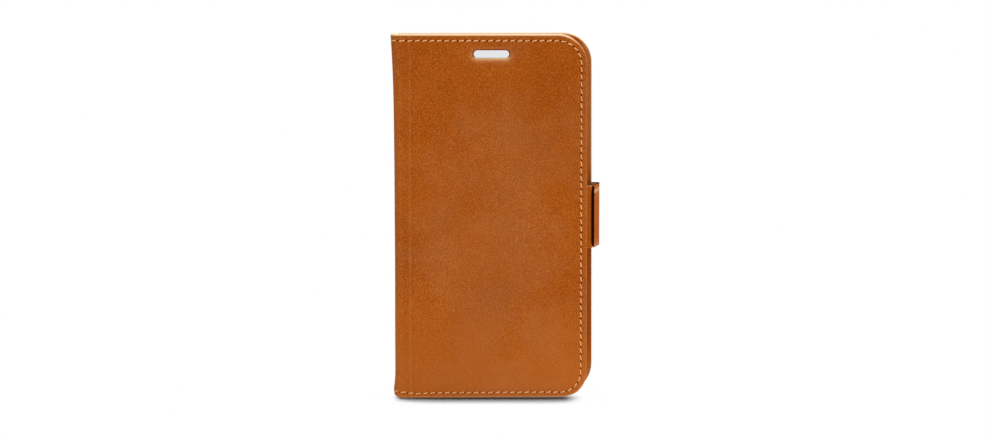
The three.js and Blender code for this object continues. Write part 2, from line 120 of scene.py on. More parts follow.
class WalletSizes(bpy.types.PropertyGroup):
    """Sizes of the sewn leatherwork"""

    corner_radius: length("Corner radius", "Covers' corners on the open side", 12)
    foot_corner: length("Foot corner", "The front cover's lower corner, which is tighter", 10.5)
    fold_radius: length("Fold radius", "Outside of each fold between spine and cover", 2.4)
    bend_behind: length("Bend behind", "Cover's outer face to where the spine starts to bend", 3.6)
    bend_ahead: length("Bend ahead", "Spine's outer face to where the cover ends to bend", 6.2)
    hide_ply: length("Hide", "Thickness of the outer leather", 0.9)
    skived_ply: length("Skived hide", "Thickness of the leather turned in round the edge", 0.4)
    rim_depth: length("Rim depth", "Thickness of a cover's turned rim", 2.2)
    rim_round: length("Rim rounding", "Radius of the rim's two rounded edges", 0.48)
    rim_fade: length("Rim fade", "Width over which a rim's rubbed edge fades out on its face", 0.25)
    turn_in: length("Turn-in", "Width of the leather turned in under the lining", 4.6)
    flare_reach: length("Flare reach", "Spine's outer face to where a flare has run out", 7)
    top_flare: length("Top flare", "How far the spine is drawn out at its top corner", 1.5)
    bottom_flare: length("Bottom flare", "The same just above its bottom corner", 0.6)
    bottom_flare_height: length("Bottom flare height", "Table to where that flare is fullest", 3.4)
    bottom_flare_spread: length("Bottom flare spread", "How far it runs up and down from there", 3.6)
    bottom_round: length("Bottom rounding", "Radius of the spine's rounded bottom corner", 2.1)
    crease_place: length("Crease place", "Spine's outer face to the pressed hinge crease", 6.9)
    crease_depth: length("Crease depth", "Depth of that crease", 0.14)
    waviness: length("Waviness", "How far the leather strays from flat", 0.07)
    slot_press: length("Slot press", "How deep the leather is pressed in at the openings", 0.6)
    slot_spread: length("Slot spread", "Width of the pressed rim round an opening", 1.3)
    slot_across: length("Slot across", "Spine's outer face to the earpiece slot's middle", 40.1)
    slot_drop: length("Slot drop", "Cover's top to the slot's middle", 7.96)
    slot_width: length("Slot width", "Width of the slot", 14.6)
    slot_height: length("Slot height", "Height of the slot", 3.2)
    slot_round: length("Slot rounding", "Radius of its ends", 1.55)
    slot_settle: length("Slot settling", "How far round the slot the grid follows its shape", 2.5)
    camera_across: length("Camera across", "Spine's outer face to the camera opening's middle", 40.4)
    camera_drop: length("Camera drop", "Cover's top to that opening's middle", 13.9)
    camera_width: length("Camera width", "Width of the camera opening", 46)
    camera_height: length("Camera height", "Height of the camera opening", 17.2)
    camera_round: length("Camera rounding", "Radius of its corners", 6)
    camera_settle: length("Camera settling", "How far round it the grid follows its shape", 2.3)
    seam_inset: length("Seam inset", "Rim to the stitches", 2.38)
    back_swell: length("Back swell", "How far the back cover's leather swells past its frame", 0.05)
    back_spread: length("Back spread", "How much further it swells at the foot", 0.5)
    foot_rise: length("Foot rise", "How much higher the covers' foot is at the open side", 0.5)
    head_rim: length("Head rim", "How far the front cover's top rim is drawn out past its seam", 0.35)
    side_rim: length("Side rim", "The same at the front cover's open side", 0.15)
    foot_rim: length("Foot rim", "How much nearer the seam lies to the rim along the foot", 0.35)
    foot_fade: length("Foot fade", "Seam to where that has faded out on the face", 10)
    back_drop: length("Back drop", "How far the back cover's top hangs below the front's", 0.35)
    groove_depth: length("Groove depth", "How deep the stitches pull the leather in", 0.16)
    groove_width: length("Groove width", "Half width of that hollow", 0.5)
    pitch: length("Stitch pitch", "From one needle hole to the next", 3)
    stitch_length: length("Stitch length", "Thread that shows between two holes", 2.5)
    thread_width: length("Thread width", "Width of the sewing thread", 0.47)
    thread_height: length("Thread height", "How high a stitch stands", 0.34)
    stitch_slant: FloatProperty(
        name="Stitch slant", description="Turn of each stitch from the seam", default=math.radians(11),
        subtype="ANGLE",
    )
    hole_width: length("Hole width", "Width of a needle hole", 0.58)
    lining_ply: length("Lining", "Thickness of the suede lining", 0.45)
    lining_inset: length("Lining inset", "Rim to the lining's edge", 3.4)
    inner_fold: length("Inner fold", "Radius of the lining's turn in a fold", 1)
    inner_ease: length("Inner ease", "How long the lining takes to lie flat past that turn", 6)
    inner_spine: length("Inner spine", "Spine's outer face to its lining's inside", 2.25)
    strap_fold: length("Strap fold", "Outside radius of the strap's two folds", 1.5)
    strap_swell: length("Strap swell", "How far the strap's rear fold stands past its anchor", 0.58)
    strap_rise: length("Strap rise", "How far the strap's top stands past its anchor there", 0.16)
    strap_bend: length("Strap bend", "How far the strap bends on each side of a fold", 2.6)
    tongue_corner: length("Tongue corner", "Radius of the tongue's corners under the cover", 4)
    tray_corner: length("Tray corner", "Phone tray's outer corner radius", 10.4)
    tray_wall: length("Tray wall", "Phone tray's wall", 1.4)
    tray_floor: length("Tray floor", "Phone tray's floor", 1)
    port_width: length("Port width", "Width of the charging port's opening", 13)
    port_depth: length("Port depth", "Depth of that opening", 5)
    port_inset: length("Port inset", "Tray's rim to that opening", 1.2)
    speaker_width: length("Speaker width", "Width of the slit on each side of the port", 11)
    speaker_place: length("Speaker place", "Port's middle to a slit's middle", 21)
    speaker_inset: length("Speaker inset", "How much narrower a slit is, on each side", 1.5)
    button_depth: length("Button depth", "Depth of the button gaps from the tray's rim", 5.2)
    power_drop: length("Power drop", "Bay's top to the power button gap's middle", 43)
    power_tall: length("Power height", "Height of the power button gap", 15)
    volume_drop: length("Volume drop", "Bay's top to the volume button gap's middle", 35)
    volume_tall: length("Volume height", "Height of the volume button gap", 34)
    arc_steps: IntProperty(name="Arc steps", description="Faces round each edge of a rim", default=4, min=2)


class WalletColours(bpy.types.PropertyGroup):
    """Colours of the materials"""

    leather: colour("Leather", "Hide's middle tan", "#a85108")
    leather_dark: colour("Leather, dark", "Deep grain and darker clouds", "#8a3900")
    leather_light: colour("Leather, light", "Raised grain and lighter clouds", "#c26b28")
    # Mostly painted highlight on rims, lips and edges, partly rims worn pale.
    leather_highlight_and_wear: colour("Leather, rim", "Rubbed rims and pressed edges", "#e6b27a")
    # Painted highlight: the cream of the brightest rims, strongest along the front cover's top.
    leather_strong_highlight: colour("Leather, bare", "Bare leather where a rim is rubbed through", "#d8c5a2")
    # Painted shade at an opening's upper lip and along the back cover's lower rim.
    leather_painted_shade: colour("Leather, burnished", "Burnished upper lip of the slot", "#543424")
    # Painted sheen over the middle of the front, duller and bluer than the tan.
    leather_painted_sheen: colour("Leather, bloom", "Waxy bloom over the handled middle", "#ac8056")
    lining: colour("Lining", "Brushed suede", "#c79a6b")
    strap_lining: colour("Strap lining", "Strap's inner leather", "#c48a62")
    thread: colour("Thread", "Sewing thread", "#ecae70")
    needle_hole: colour("Needle hole", "Shadowed leather in a needle hole", "#140300")
    edge_paint: colour("Edge paint", "Painted strap edges", "#260700")
    tray: colour("Tray", "Moulded phone tray", "#2b211b")
    board: colour("Board", "Pressed grey board", "#8d8a84")
    steel: colour("Steel", "Keeper plate", "#b9bcc0")
    plating: colour("Plating", "Magnet's nickel plating", "#9a9da1")
    foam: colour("Foam", "Adhesive pad", "#3a3a3c")


def sizes():
    return bpy.context.scene.wallet_sizes


def colours():
    return bpy.context.scene.wallet_colours


# Materials


def new_material(name):
    """A material, its node tree, its shader and the socket that gives places on the object."""
    material = bpy.data.materials.new(name)
    material.use_nodes = True
    tree = material.node_tree
    shader = next(n for n in tree.nodes if n.type == "BSDF_PRINCIPLED")
    return material, tree, shader, add_node(tree, "TexCoord").outputs["Object"]


def add_node(tree, kind, inputs=(), **settings):
    """Adds a node. Its inputs are given by name, or in order. One given as a socket is linked, and any
    other is set."""
    node = tree.nodes.new("ShaderNode" + kind)
    for key, value in settings.items():
        setattr(node, key, value)
    for key, value in inputs.items() if isinstance(inputs, dict) else enumerate(inputs):
        fill_input(tree, node.inputs[key], value)
    return node


def fill_input(tree, socket, value):
    if isinstance(value, bpy.types.NodeSocket):
        tree.links.new(value, socket)
    else:
        socket.default_value = (*value, 1) if socket.type == "RGBA" else value


def tinted(tree, base, tone, pattern, *fade):
    """The base under a tone, whose share follows the pattern. fade is the pattern's low and high, and
    the share at each, which is 0 and 1 where it isn't given."""
    share = add_node(tree, "MapRange", (pattern, *fade), interpolation_type="SMOOTHSTEP").outputs["Result"]
    return add_node(tree, "Mix", {0: share, 6: base, 7: tone}, data_type="RGBA").outputs[2]


def away_from(tree, place, middle, spread):
    """How far a place is from the middle, counted in spreads along each axis."""
    inputs = {"Vector": place, "Location": middle, "Scale": spread}
    local = add_node(tree, "Mapping", inputs, vector_type="TEXTURE").outputs["Vector"]
    return add_node(tree, "VectorMath", (local,), operation="LENGTH").outputs["Value"]


def finish_shader(tree, shader, base, roughness, *bumps, **constants):
    """Links or sets the shader's inputs. A bump is its height, strength and distance, and lies over the
    one before it. A constant's name has _ where its socket has a space."""
    normal = {}
    for height, strength, distance in bumps:
        inputs = {"Height": height, "Strength": strength, "Distance": distance, **normal}
        normal["Normal"] = add_node(tree, "Bump", inputs).outputs["Normal"]
    constants = {name.replace("_", " "): value for name, value in constants.items()}
    for name, value in {"Base Color": base, "Roughness": roughness, **normal, **constants}.items():
        fill_input(tree, shader.inputs[name], value)


def tan_leather(name, dullness=0.0):
    """Waxed full-grain cowhide: cloudy tan with fine pores and satin, paler and glossier where an attribute
    paints highlight and worn rims, and darker where it paints shade.
    """
    material, tree, shader, place = new_material(name)
    c = colours()
    # The pores are about 0.3 mm apart on the hide, and are drawn at 0.45 mm so that they show.
    clouds, blotches, pores = (
        add_node(
            tree, "TexNoise", {"Vector": place, "Scale": 1 / size, "Detail": detail, "Roughness": rough}
        ).outputs["Fac"]
        for size, detail, rough in ((30 * MM, 3, 0.55), (3 * MM, 3, 0.6), (0.45 * MM, 1, 0.7))
    )
    cells = add_node(
        tree, "TexVoronoi", {"Vector": place, "Scale": 1 / (0.8 * MM), "Randomness": 1.0},
        feature="DISTANCE_TO_EDGE",
    ).outputs["Distance"]
    height = add_node(tree, "SeparateXYZ", {"Vector": place}).outputs["Z"]
    # Distance from the middle of the front, where the painted sheen lies.
    away = away_from(
        tree, place, (SPINE_X + FRONT_REACH * 0.6, 0, HEIGHT * 0.42), (FRONT_REACH * 0.62, 1, HEIGHT * 0.6)
    )
    sheen_drift = add_node(
        tree, "TexNoise",
        {"Vector": place, "W": 2.0, "Scale": 1 / (24 * MM), "Detail": 3, "Roughness": 0.6},
        noise_dimensions="4D",
    ).outputs["Fac"]
    away = add_node(tree, "Math", (sheen_drift, 4.0, away), operation="MULTIPLY_ADD").outputs[0]
    # The attribute is 1 where the leather is pale, mostly painted highlight and partly worn rims, and -1
    # where painted shade darkens it.
    rubbed_and_painted_light = add_node(tree, "Attribute", attribute_name="rubbed_and_painted_light").outputs["Fac"]
    base = c.leather
    for tone, pattern, *fade in (
        (c.leather_dark, clouds, 0.36, 0.52, 0.25, 0.0),
        (c.leather_light, clouds, 0.5, 0.66, 0.0, 0.22),
        (c.leather_light, blotches, 0.5, 0.75, 0.0, 0.12),
        (c.leather_dark, blotches, 0.25, 0.5, 0.12, 0.0),
        (c.leather_light, pores, 0.5, 0.72, 0.0, 0.9),
        (c.leather_dark, pores, 0.28, 0.5, 0.9, 0.0),
        # Painted bounce light: the hide is paler towards the case's foot, near the white table.
        (c.leather_light, height, 0.34 * HEIGHT, 0.0, 0.0, 0.5),
        # Painted sheen over the middle of the front.
        (c.leather_painted_sheen, away, 1.9, 3.1, 0.14, 0.0),
        # Painted highlight, partly worn rims, then painted shade, as the attribute gives them.
        (c.leather_highlight_and_wear, rubbed_and_painted_light, 0.0, 1.0, 0.0, 0.85),
        (c.leather_strong_highlight, rubbed_and_painted_light, 0.6, 1.0, 0.0, 0.7),
        (c.leather_painted_shade, rubbed_and_painted_light, -1.0, 0.0, 0.85, 0.0),
    ):
        base = tinted(tree, base, tone, pattern, *fade)
    gloss, gloss_where_pale, grain = (
        add_node(tree, "MapRange", (pattern, *fade), interpolation_type="SMOOTHSTEP").outputs["Result"]
        for pattern, *fade in (
            (blotches, 0.3, 0.7, 0.5 + dullness, 0.62 + dullness),
            (rubbed_and_painted_light, 0.0, 1.0, 0.0, 0.33),
            (cells, 0.0, 0.25),
        )
    )
    gloss = add_node(tree, "Math", (gloss, gloss_where_pale), operation="SUBTRACT").outputs[0]
    bumps = (grain, 0.35, 0.05 * MM), (pores, 0.5, 0.12 * MM)
    finish_shader(tree, shader, base, gloss, *bumps, IOR=1.45, Specular_IOR_Level=0.05)
    return material


def brushed_suede(name, base, nap_depth):
    """Brushed microfibre suede: matt, with a soft nap that catches light in small patches."""
    material, tree, shader, place = new_material(name)
    # The nap's fibres are finer than 0.1 mm, and are drawn at 0.5 mm so that they show.
    patches, nap = (
        add_node(
            tree, "TexNoise", {"Vector": place, "Scale": 1 / size, "Detail": 3, "Roughness": rough}
        ).outputs["Fac"]
        for size, rough in ((9 * MM, 0.5), (0.5 * MM, 0.7))
    )
    shade = tinted(tree, base, [v * 0.72 for v in base], patches, 0.3, 0.7, 0.0, 0.35)
    shade = tinted(tree, shade, [min(1, v * 1.25) for v in base], nap, 0.35, 0.65, 0.0, 0.4)
    bump = (nap, 0.6, nap_depth)
    finish_shader(tree, shader, shade, 0.92, bump, Sheen_Weight=0.25, Sheen_Roughness=0.4)
    return material


def waxed_thread(name):
    """Waxed twisted polyester thread: satin, with the lay of its strands as fine slanted lines."""
    material, tree, shader, place = new_material(name)
    base = colours().thread
    twist = add_node(
        tree, "TexWave", {"Vector": place, "Scale": 1 / (3.2 * MM), "Distortion": 0.6},
        wave_type="BANDS", bands_direction="DIAGONAL",
    ).outputs["Fac"]
    fuzz = add_node(tree, "TexNoise", {"Vector": place, "Scale": 1 / (4 * MM), "Detail": 2}).outputs["Fac"]
    shade = tinted(tree, base, [v * 0.6 for v in base], twist, 0.0, 0.6, 0.35, 0.0)
    shade = tinted(tree, shade, [min(1, v * 1.2) for v in base], fuzz, 0.35, 0.65, 0.0, 0.3)
    finish_shader(tree, shader, shade, 0.6, (twist, 0.5, 0.06 * MM), Specular_IOR_Level=0.3)
    return material


def plain_finish(name, base, roughness, speck, contrast, depth, metallic=0.0, specular=0.5, drawn=1.0):
    """A finish whose tone, gloss and height follow one noise. speck is the noise's size, contrast how
    far the tone strays, as a share, depth how high it stands, and drawn its scale along Z."""
    material, tree, shader, place = new_material(name)
    turned = add_node(tree, "Mapping", {"Vector": place, "Scale": (1, 1, drawn)}).outputs["Vector"]
    specks = add_node(tree, "TexNoise", {"Vector": turned, "Scale": 1 / speck, "Detail": 3}).outputs["Fac"]
    dark, pale = ([min(1, v * (1 + sign * contrast)) for v in base] for sign in (-1, 1))
    shade = tinted(tree, dark, pale, specks, 0.35, 0.65)
    gloss = add_node(
        tree, "MapRange", (specks, 0.3, 0.7, roughness - 0.06, roughness + 0.06),
        interpolation_type="SMOOTHSTEP",
    ).outputs["Result"]
    bump = (specks, 0.5, depth)
    finish_shader(tree, shader, shade, gloss, bump, Metallic=metallic, Specular_IOR_Level=specular)
    return material


MATERIALS = {}


def make_materials():
    c = colours()
    MATERIALS["hide"] = tan_leather("waxed_full_grain_leather")
    MATERIALS["strap"] = tan_leather("waxed_strap_leather", dullness=0.25)
    MATERIALS["lining"] = brushed_suede("brushed_microfibre_suede", c.lining, 0.12 * MM)
    MATERIALS["strap_lining"] = brushed_suede("split_leather_strap_lining", c.strap_lining, 0.06 * MM)
    MATERIALS["thread"] = waxed_thread("waxed_polyester_thread")
    for key, name, *look in (
        # Painted shade in the needle holes: dull and nearly black.
        ("hole", "pierced_leather", c.needle_hole, 0.9, 0.3 * MM, 0.3, 0.02 * MM, 0.0, 0.0),
        # Edge paint: a dull dark film over the cut plies, with a few brush ripples.
        ("edge", "edge_paint", c.edge_paint, 0.8, 1.6 * MM, 0.25, 0.05 * MM, 0.0, 0.02),
        # Moulded polycarbonate with a spark-eroded texture: dark, with an even fine sparkle.
        ("tray", "moulded_polycarbonate", c.tray, 0.5, 0.35 * MM, 0.12, 0.03 * MM),
        # Pressed greyboard: dull grey with the fibres of waste paper.
        ("board", "pressed_greyboard", c.board, 0.92, 0.9 * MM, 0.2, 0.06 * MM),
        # Rolled mild steel: bright, drawn out along the sheet's rolling direction.
        ("steel", "rolled_steel", c.steel, 0.34, 0.4 * MM, 0.1, 0.01 * MM, 1.0, 0.5, 0.1),
        # Nickel plating: a clean, faintly mottled metal.
        ("plating", "nickel_plating", c.plating, 0.24, 2 * MM, 0.06, 0.01 * MM, 1.0),
        # Closed-cell foam: dark grey and dull, with small open cells at its cut face.
        ("foam", "closed_cell_foam", c.foam, 0.95, 0.5 * MM, 0.3, 0.1 * MM),
    ):
        MATERIALS[key] = plain_finish(name, *look)


def dress(piece, *names):
    piece.data.materials.clear()
    for name in names:
        piece.data.materials.append(MATERIALS[name])


# Modelling helpers


def start_fresh():
    bpy.ops.object.select_all(action="DESELECT")


def make_active(piece):
    start_fresh()
    piece.select_set(True)
    bpy.context.view_layer.objects.active = piece


def just_added(name):
    piece = bpy.context.object
    piece.name = piece.data.name = name
    return piece


def apply_modifier(piece, kind, **settings):
    make_active(piece)
    modifier = piece.modifiers.new(kind.title(), kind)
    for key, value in settings.items():
        setattr(modifier, key, value)
    bpy.ops.object.modifier_apply(modifier=modifier.name)


def settle(piece):
    """Puts the piece's place into its mesh, so that its object sits at the origin."""
    make_active(piece)
    bpy.ops.object.transform_apply(location=True, rotation=True, scale=True)


def edit(piece, mode="EDGE", action="DESELECT"):
    make_active(piece)
    bpy.ops.object.mode_set(mode="EDIT")
    bpy.ops.mesh.select_mode(type=mode)
    bpy.ops.mesh.select_all(action=action)


def end_edit():
    bpy.ops.object.mode_set(mode="OBJECT")


def pick_edges(piece, test):
    """Selects the edges whose two ends pass the test, in edit mode."""
    mesh = bmesh.from_edit_mesh(piece.data)
    for edge in mesh.edges:
        edge.select_set(bool(test(edge.verts[0].co, edge.verts[1].co)))
    bmesh.update_edit_mesh(piece.data)


def slice_at(piece, place, normal):
    """Adds a line of edges where a plane crosses the piece."""
    edit(piece, action="SELECT")
    bpy.ops.mesh.bisect(plane_co=place, plane_no=normal)
    end_edit()


def smooth(piece, angle=50):
    make_active(piece)
    bpy.ops.object.shade_smooth_by_angle(angle=math.radians(angle))


def flip_where(wrong, sheet):
    if wrong:
        edit(sheet, "FACE", "SELECT")
        bpy.ops.mesh.flip_normals()
        end_edit()


def write_attribute(piece, name, values, domain="POINT"):
    attribute = piece.data.attributes.new(name, "FLOAT", domain)
    attribute.data.foreach_set("value", np.array(values, np.float32))


def finish_piece(piece, slot, *replaced, body=None):
    """Hides the frame's nodes that a piece replaces and, where it is rigid, parents the piece to its body.
    slot is not used.
    """
    if replaced:
        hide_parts(*replaced)
    if body:
        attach(piece, body)


def run(first, last, step):
    """Evenly spaced values from first to last, as near to the step as fits."""
    count = max(1, round(abs(last - first) / step))
    return [first + (last - first) * i / count for i in range(count + 1)]


def merge_lines(kept, others, gap):
    """All kept lines, with the others that lie further than the gap from each of them."""
    spare = [v for v in others if all(abs(v - k) > gap for k in kept)]
    lines = []
    for value in sorted(kept + spare):
        if not lines or value - lines[-1] > TINY:
            lines.append(value)
    return lines


def add_grid(name, columns, rows):
    """A flat grid with a line of vertices at each column and row."""
    start_fresh()
    bpy.ops.mesh.primitive_grid_add(x_subdivisions=len(columns) - 1, y_subdivisions=len(rows) - 1, size=2)
    sheet = just_added(name)
    for vertex in sheet.data.vertices:
        i = round((vertex.co.x + 1) / 2 * (len(columns) - 1))
        j = round((vertex.co.y + 1) / 2 * (len(rows) - 1))
        vertex.co = (columns[i], rows[j], 0)
    return sheet


# The covers' shape. A place on a cover is its way along the leather from the middle of the spine,
# its height, and its depth below the outer face.


def fold_start():
    return HALF_DEPTH - sizes().fold_radius


def fold_end():
    return fold_start() + sizes().fold_radius * QUARTER


def way_to(across):
    """The way along the leather to a place given across the case."""
    return fold_end() + across - sizes().fold_radius


def corner_radius(side, upper):
    s = sizes()
    return s.corner_radius if upper or side == BACK else s.foot_corner


def flare_at(height):
    """How far the spine is drawn out, which is negative where its bottom corner is rounded off."""
    s = sizes()
    start_share, lean_share = 0.45, 0.16  # where the top flare starts, and its part that grows evenly
    top_share = max(0.0, (height / HEIGHT - start_share) / (1 - start_share))
    flare = s.top_flare * (lean_share * top_share + (1 - lean_share) * top_share**5)
    flare += s.bottom_flare * bell(height, s.bottom_flare_height, s.bottom_flare_spread)
    low = height / s.bottom_round
    if low < 1:
        flare -= s.bottom_round * (1 - math.sqrt(max(0.0, 1 - (1 - low) ** 2)))
    return flare


def flared(x, height):
    """A place's distance from the spine's outer face, drawn out near the spine."""
    return x - flare_at(height) * max(0.0, 1 - max(0.0, x) / sizes().flare_reach) ** 2


def turn_quarter(way, start, radius, outer_radius):
    """Across and along for a way that runs straight to start, round a quarter and straight across.
    The way is measured on the outer radius."""
    angle = (way - start) / outer_radius
    if angle < 0:
        return 0.0, way
    if angle < QUARTER:
        return radius * (1 - math.cos(angle)), start + radius * math.sin(angle)
    return radius + way - start - outer_radius * QUARTER, start + radius


def cover_place(way, height, depth, side):
    """The point in the frame of a place on a cover."""
    s = sizes()
    across, along = turn_quarter(way, fold_start(), s.fold_radius - depth, s.fold_radius)
    x = flared(depth + across, height)
    foot = 1 - height / HEIGHT
    head_share = max(0.0, 1 - (HEIGHT - height) / s.seam_inset)
    foot_share = min(height / s.seam_inset, max(0.0, 1 - (height - s.seam_inset) / s.foot_fade))
    height -= s.foot_rim * foot_share
    if side == FRONT:
        height += s.head_rim * head_share
        x += s.side_rim * max(0.0, 1 - (FRONT_REACH - x) / s.seam_inset)
    else:
        x += s.back_spread * foot * max(0.0, x / BACK_REACH)
        height -= drop_at(way) * height / HEIGHT
    height += s.foot_rise * foot * max(0.0, x / FRONT_REACH)
    return Vector((SPINE_X + x, side * along, height))


def drop_at(way):
    """How far the back cover's top hangs: from the spine's middle on, and less at the open side."""
    hung, held = min(1.0, way / fold_end()), min(1.0, way / way_to(BACK_REACH))
    return sizes().back_drop * hung * (1 - 0.6 * held**2)


def lining_place(way, height, depth, side):
    """A place on the lining, which turns the inner corner of the fold on its own small radius."""
    s = sizes()
    start = HALF_DEPTH - depth - s.inner_fold
    turn_end = start + s.inner_fold * QUARTER
    scaled = way * turn_end / fold_end() if way < fold_end() else way - fold_end() + turn_end
    across, along = turn_quarter(scaled, start, s.inner_fold, s.inner_fold)
    ahead = s.fold_radius - s.inner_spine - s.inner_fold
    x = s.inner_spine + across + ahead * clamp((scaled - turn_end) / s.inner_ease)
    return Vector((SPINE_X + flared(x, height), side * along, height))


def rounded(along, up, half_width, half_height, radius):
    """Moves a point on a rectangle's sides onto the rectangle with rounded corners."""
    a, b = abs(along), abs(up)
    on_side = half_width - a < half_height - b
    left = (half_height - b) if on_side else (half_width - a)
    if radius <= max(0.0, left):
        return along, up
    turn = QUARTER / 2 * (1 - left / radius)
    angle = turn if on_side else QUARTER - turn
    a = half_width - radius + radius * math.cos(angle)
    b = half_height - radius + radius * math.sin(angle)
    return math.copysign(a, along), math.copysign(b, up)


class Opening:
    """A round-cornered opening in a cover, and the stretch round it where the grid follows it."""

    outer_steps = (0, 0.2, 0.45, 0.75, 1.1, 1.6, 2.3)  # grid lines outside the opening, in mm
    corner_shares = (0.12, 0.28, 0.46, 0.66, 0.86, 1.0)  # and inside, in its corner radii

    def __init__(self, across, height, width, tall, radius, spread):
        self.way, self.height = way_to(across), height
        self.half_width, self.half_height = width / 2, tall / 2
        self.radius, self.spread = radius, spread

    def clear(self, way, height):
        """How far a place lies from the opening's rounded outline."""
        a = max(0.0, abs(way - self.way) - self.half_width + self.radius)
        b = max(0.0, abs(height - self.height) - self.half_height + self.radius)
        return max(0.0, math.hypot(a, b) - self.radius)

    def outside(self, way, height):
        """The same from its square outline, and negative inside."""
        return max(abs(way - self.way) - self.half_width, abs(height - self.height) - self.half_height)

    def shaped(self, way, height):
        """Where a place on the square grid goes, so that the grid follows the rounded corners."""
        away = max(0.0, self.outside(way, height))
        if away >= self.spread:
            return way, height
        along, up = rounded(
            way - self.way, height - self.height, self.half_width + away, self.half_height + away,
            self.radius * (1 - away / self.spread),
        )
        return self.way + along, self.height + up

    def lines(self, middle, half):
        turn = min(self.radius, half)
        places = [half + step * MM for step in self.outer_steps]
        places += [half - turn * share for share in self.corner_shares]
        return [middle + way * place for place in places for way in (-1, 1)]

    def columns(self):
        return self.lines(self.way, self.half_width)

    def rows(self, low=0.0):
        return self.lines(low + self.height, self.half_height)

    def cut(self, sheet, low=0.0):
        """Takes the opening's faces out of a flat sheet on which the case's foot is at low."""
        edit(sheet, "FACE")
        mesh = bmesh.from_edit_mesh(sheet.data)
        for face in mesh.faces:
            place = face.calc_center_median()
            face.select_set(self.outside(place.x, place.y - low) < 0)
        bmesh.update_edit_mesh(sheet.data)
        bpy.ops.mesh.delete(type="FACE")
        end_edit()


def slot_opening():
    s = sizes()
    return Opening(
        s.slot_across, HEIGHT - s.slot_drop, s.slot_width, s.slot_height, s.slot_round, s.slot_settle
    )


def camera_opening():
    s = sizes()
    return Opening(
        s.camera_across, HEIGHT - s.camera_drop, s.camera_width, s.camera_height, s.camera_round,
        s.camera_settle,
    )


# The hides


def rim_lines():
    """Distances from the rim where a cover's grid has a line: at the rim, the groove and beyond."""
    s = sizes()
    groove_shares = (-1.7, -1.1, -0.6, -0.25, 0, 0.25, 0.6, 1.1, 1.7)
    fading, gap = s.rim_round + s.rim_fade, 0.1 * MM
    groove = [s.seam_inset + share * s.groove_width for share in groove_shares]
    return [s.rim_round, fading] + [v for v in groove if v > fading + gap] + [RIM_END]


def rim_lengths():
    """Along the leather, a rim's rounded quarter, and the whole rim with its two quarters."""
    s = sizes()
    quarter = s.rim_round * QUARTER
    return quarter, 2 * quarter + s.rim_depth - 2 * s.rim_round


def add_hide(name, end, width, tall, opening):
    """A cover's flat hide: half the spine, the face, and the rims and turn-in on three sides."""
    s = sizes()
    quarter, rim = rim_lengths()
    margin = s.turn_in + rim - s.rim_round
    steps, before_rim = run(0, quarter, quarter / s.arc_steps), 2 * MM
    across_rim = steps + [rim / 2] + [rim - v for v in steps]
    edge = [0, s.turn_in - before_rim] + [s.turn_in + v for v in across_rim]
    edge += [margin + v for v in rim_lines()]
    spine = run(0, fold_start(), SPINE_STEP)
    hinge = run(fold_start(), fold_end(), FOLD_STEP) + run(fold_end(), way_to(HINGE_END), FOLD_STEP)
    face = run(way_to(HINGE_END), end - s.rim_round, FACE_STEP)
    columns = merge_lines(spine + hinge + [width - v for v in edge] + opening.columns(), face, LEAST_STEP)
    body = run(margin + RIM_END, margin + HEIGHT - RIM_END, FACE_STEP)
    rows = merge_lines(edge + [tall - v for v in edge] + opening.rows(margin), body, LEAST_STEP)
    sheet = add_grid(name, columns, rows)
    opening.cut(sheet, margin)
    return sheet


def round_rim(distance):
    """Inset from the outline and depth, for a distance from the turned-in edge."""
    s = sizes()
    quarter, rim = rim_lengths()
    past = distance - s.turn_in
    if past <= 0:
        return s.rim_round - past, s.rim_depth
    if past < quarter:
        angle = past / s.rim_round
        return s.rim_round * (1 - math.sin(angle)), s.rim_depth - s.rim_round * (1 - math.cos(angle))
    if past < rim - quarter:
        return 0.0, s.rim_depth - s.rim_round - (past - quarter)
    if past < rim:
        angle = (past - rim + quarter) / s.rim_round
        return s.rim_round * (1 - math.cos(angle)), s.rim_round * (1 - math.sin(angle))
    return s.rim_round + past - rim, 0.0


def turn_in_hide(from_side, from_end, end, radius):
    """Way, rise from the nearer end, inset and depth of a place on the flat hide. radius is the
    cover's corner radius there."""
    corner = sizes().turn_in + rim_lengths()[1] + radius - sizes().rim_round
    if from_side < corner and from_end < corner:
        nearest, other = min(from_side, from_end), max(from_side, from_end)
        inset, depth = round_rim(nearest)
        turn = QUARTER / 2 * (1 - (other - nearest) / (corner - nearest))
        angle = turn if from_side < from_end else QUARTER - turn
        way = end - radius + (radius - inset) * math.cos(angle)
        return way, radius - (radius - inset) * math.sin(angle), inset, depth
    side_inset, side_depth = round_rim(from_side)
    rise, end_depth = round_rim(from_end)
    return end - side_inset, rise, min(side_inset, rise), max(side_depth, end_depth)


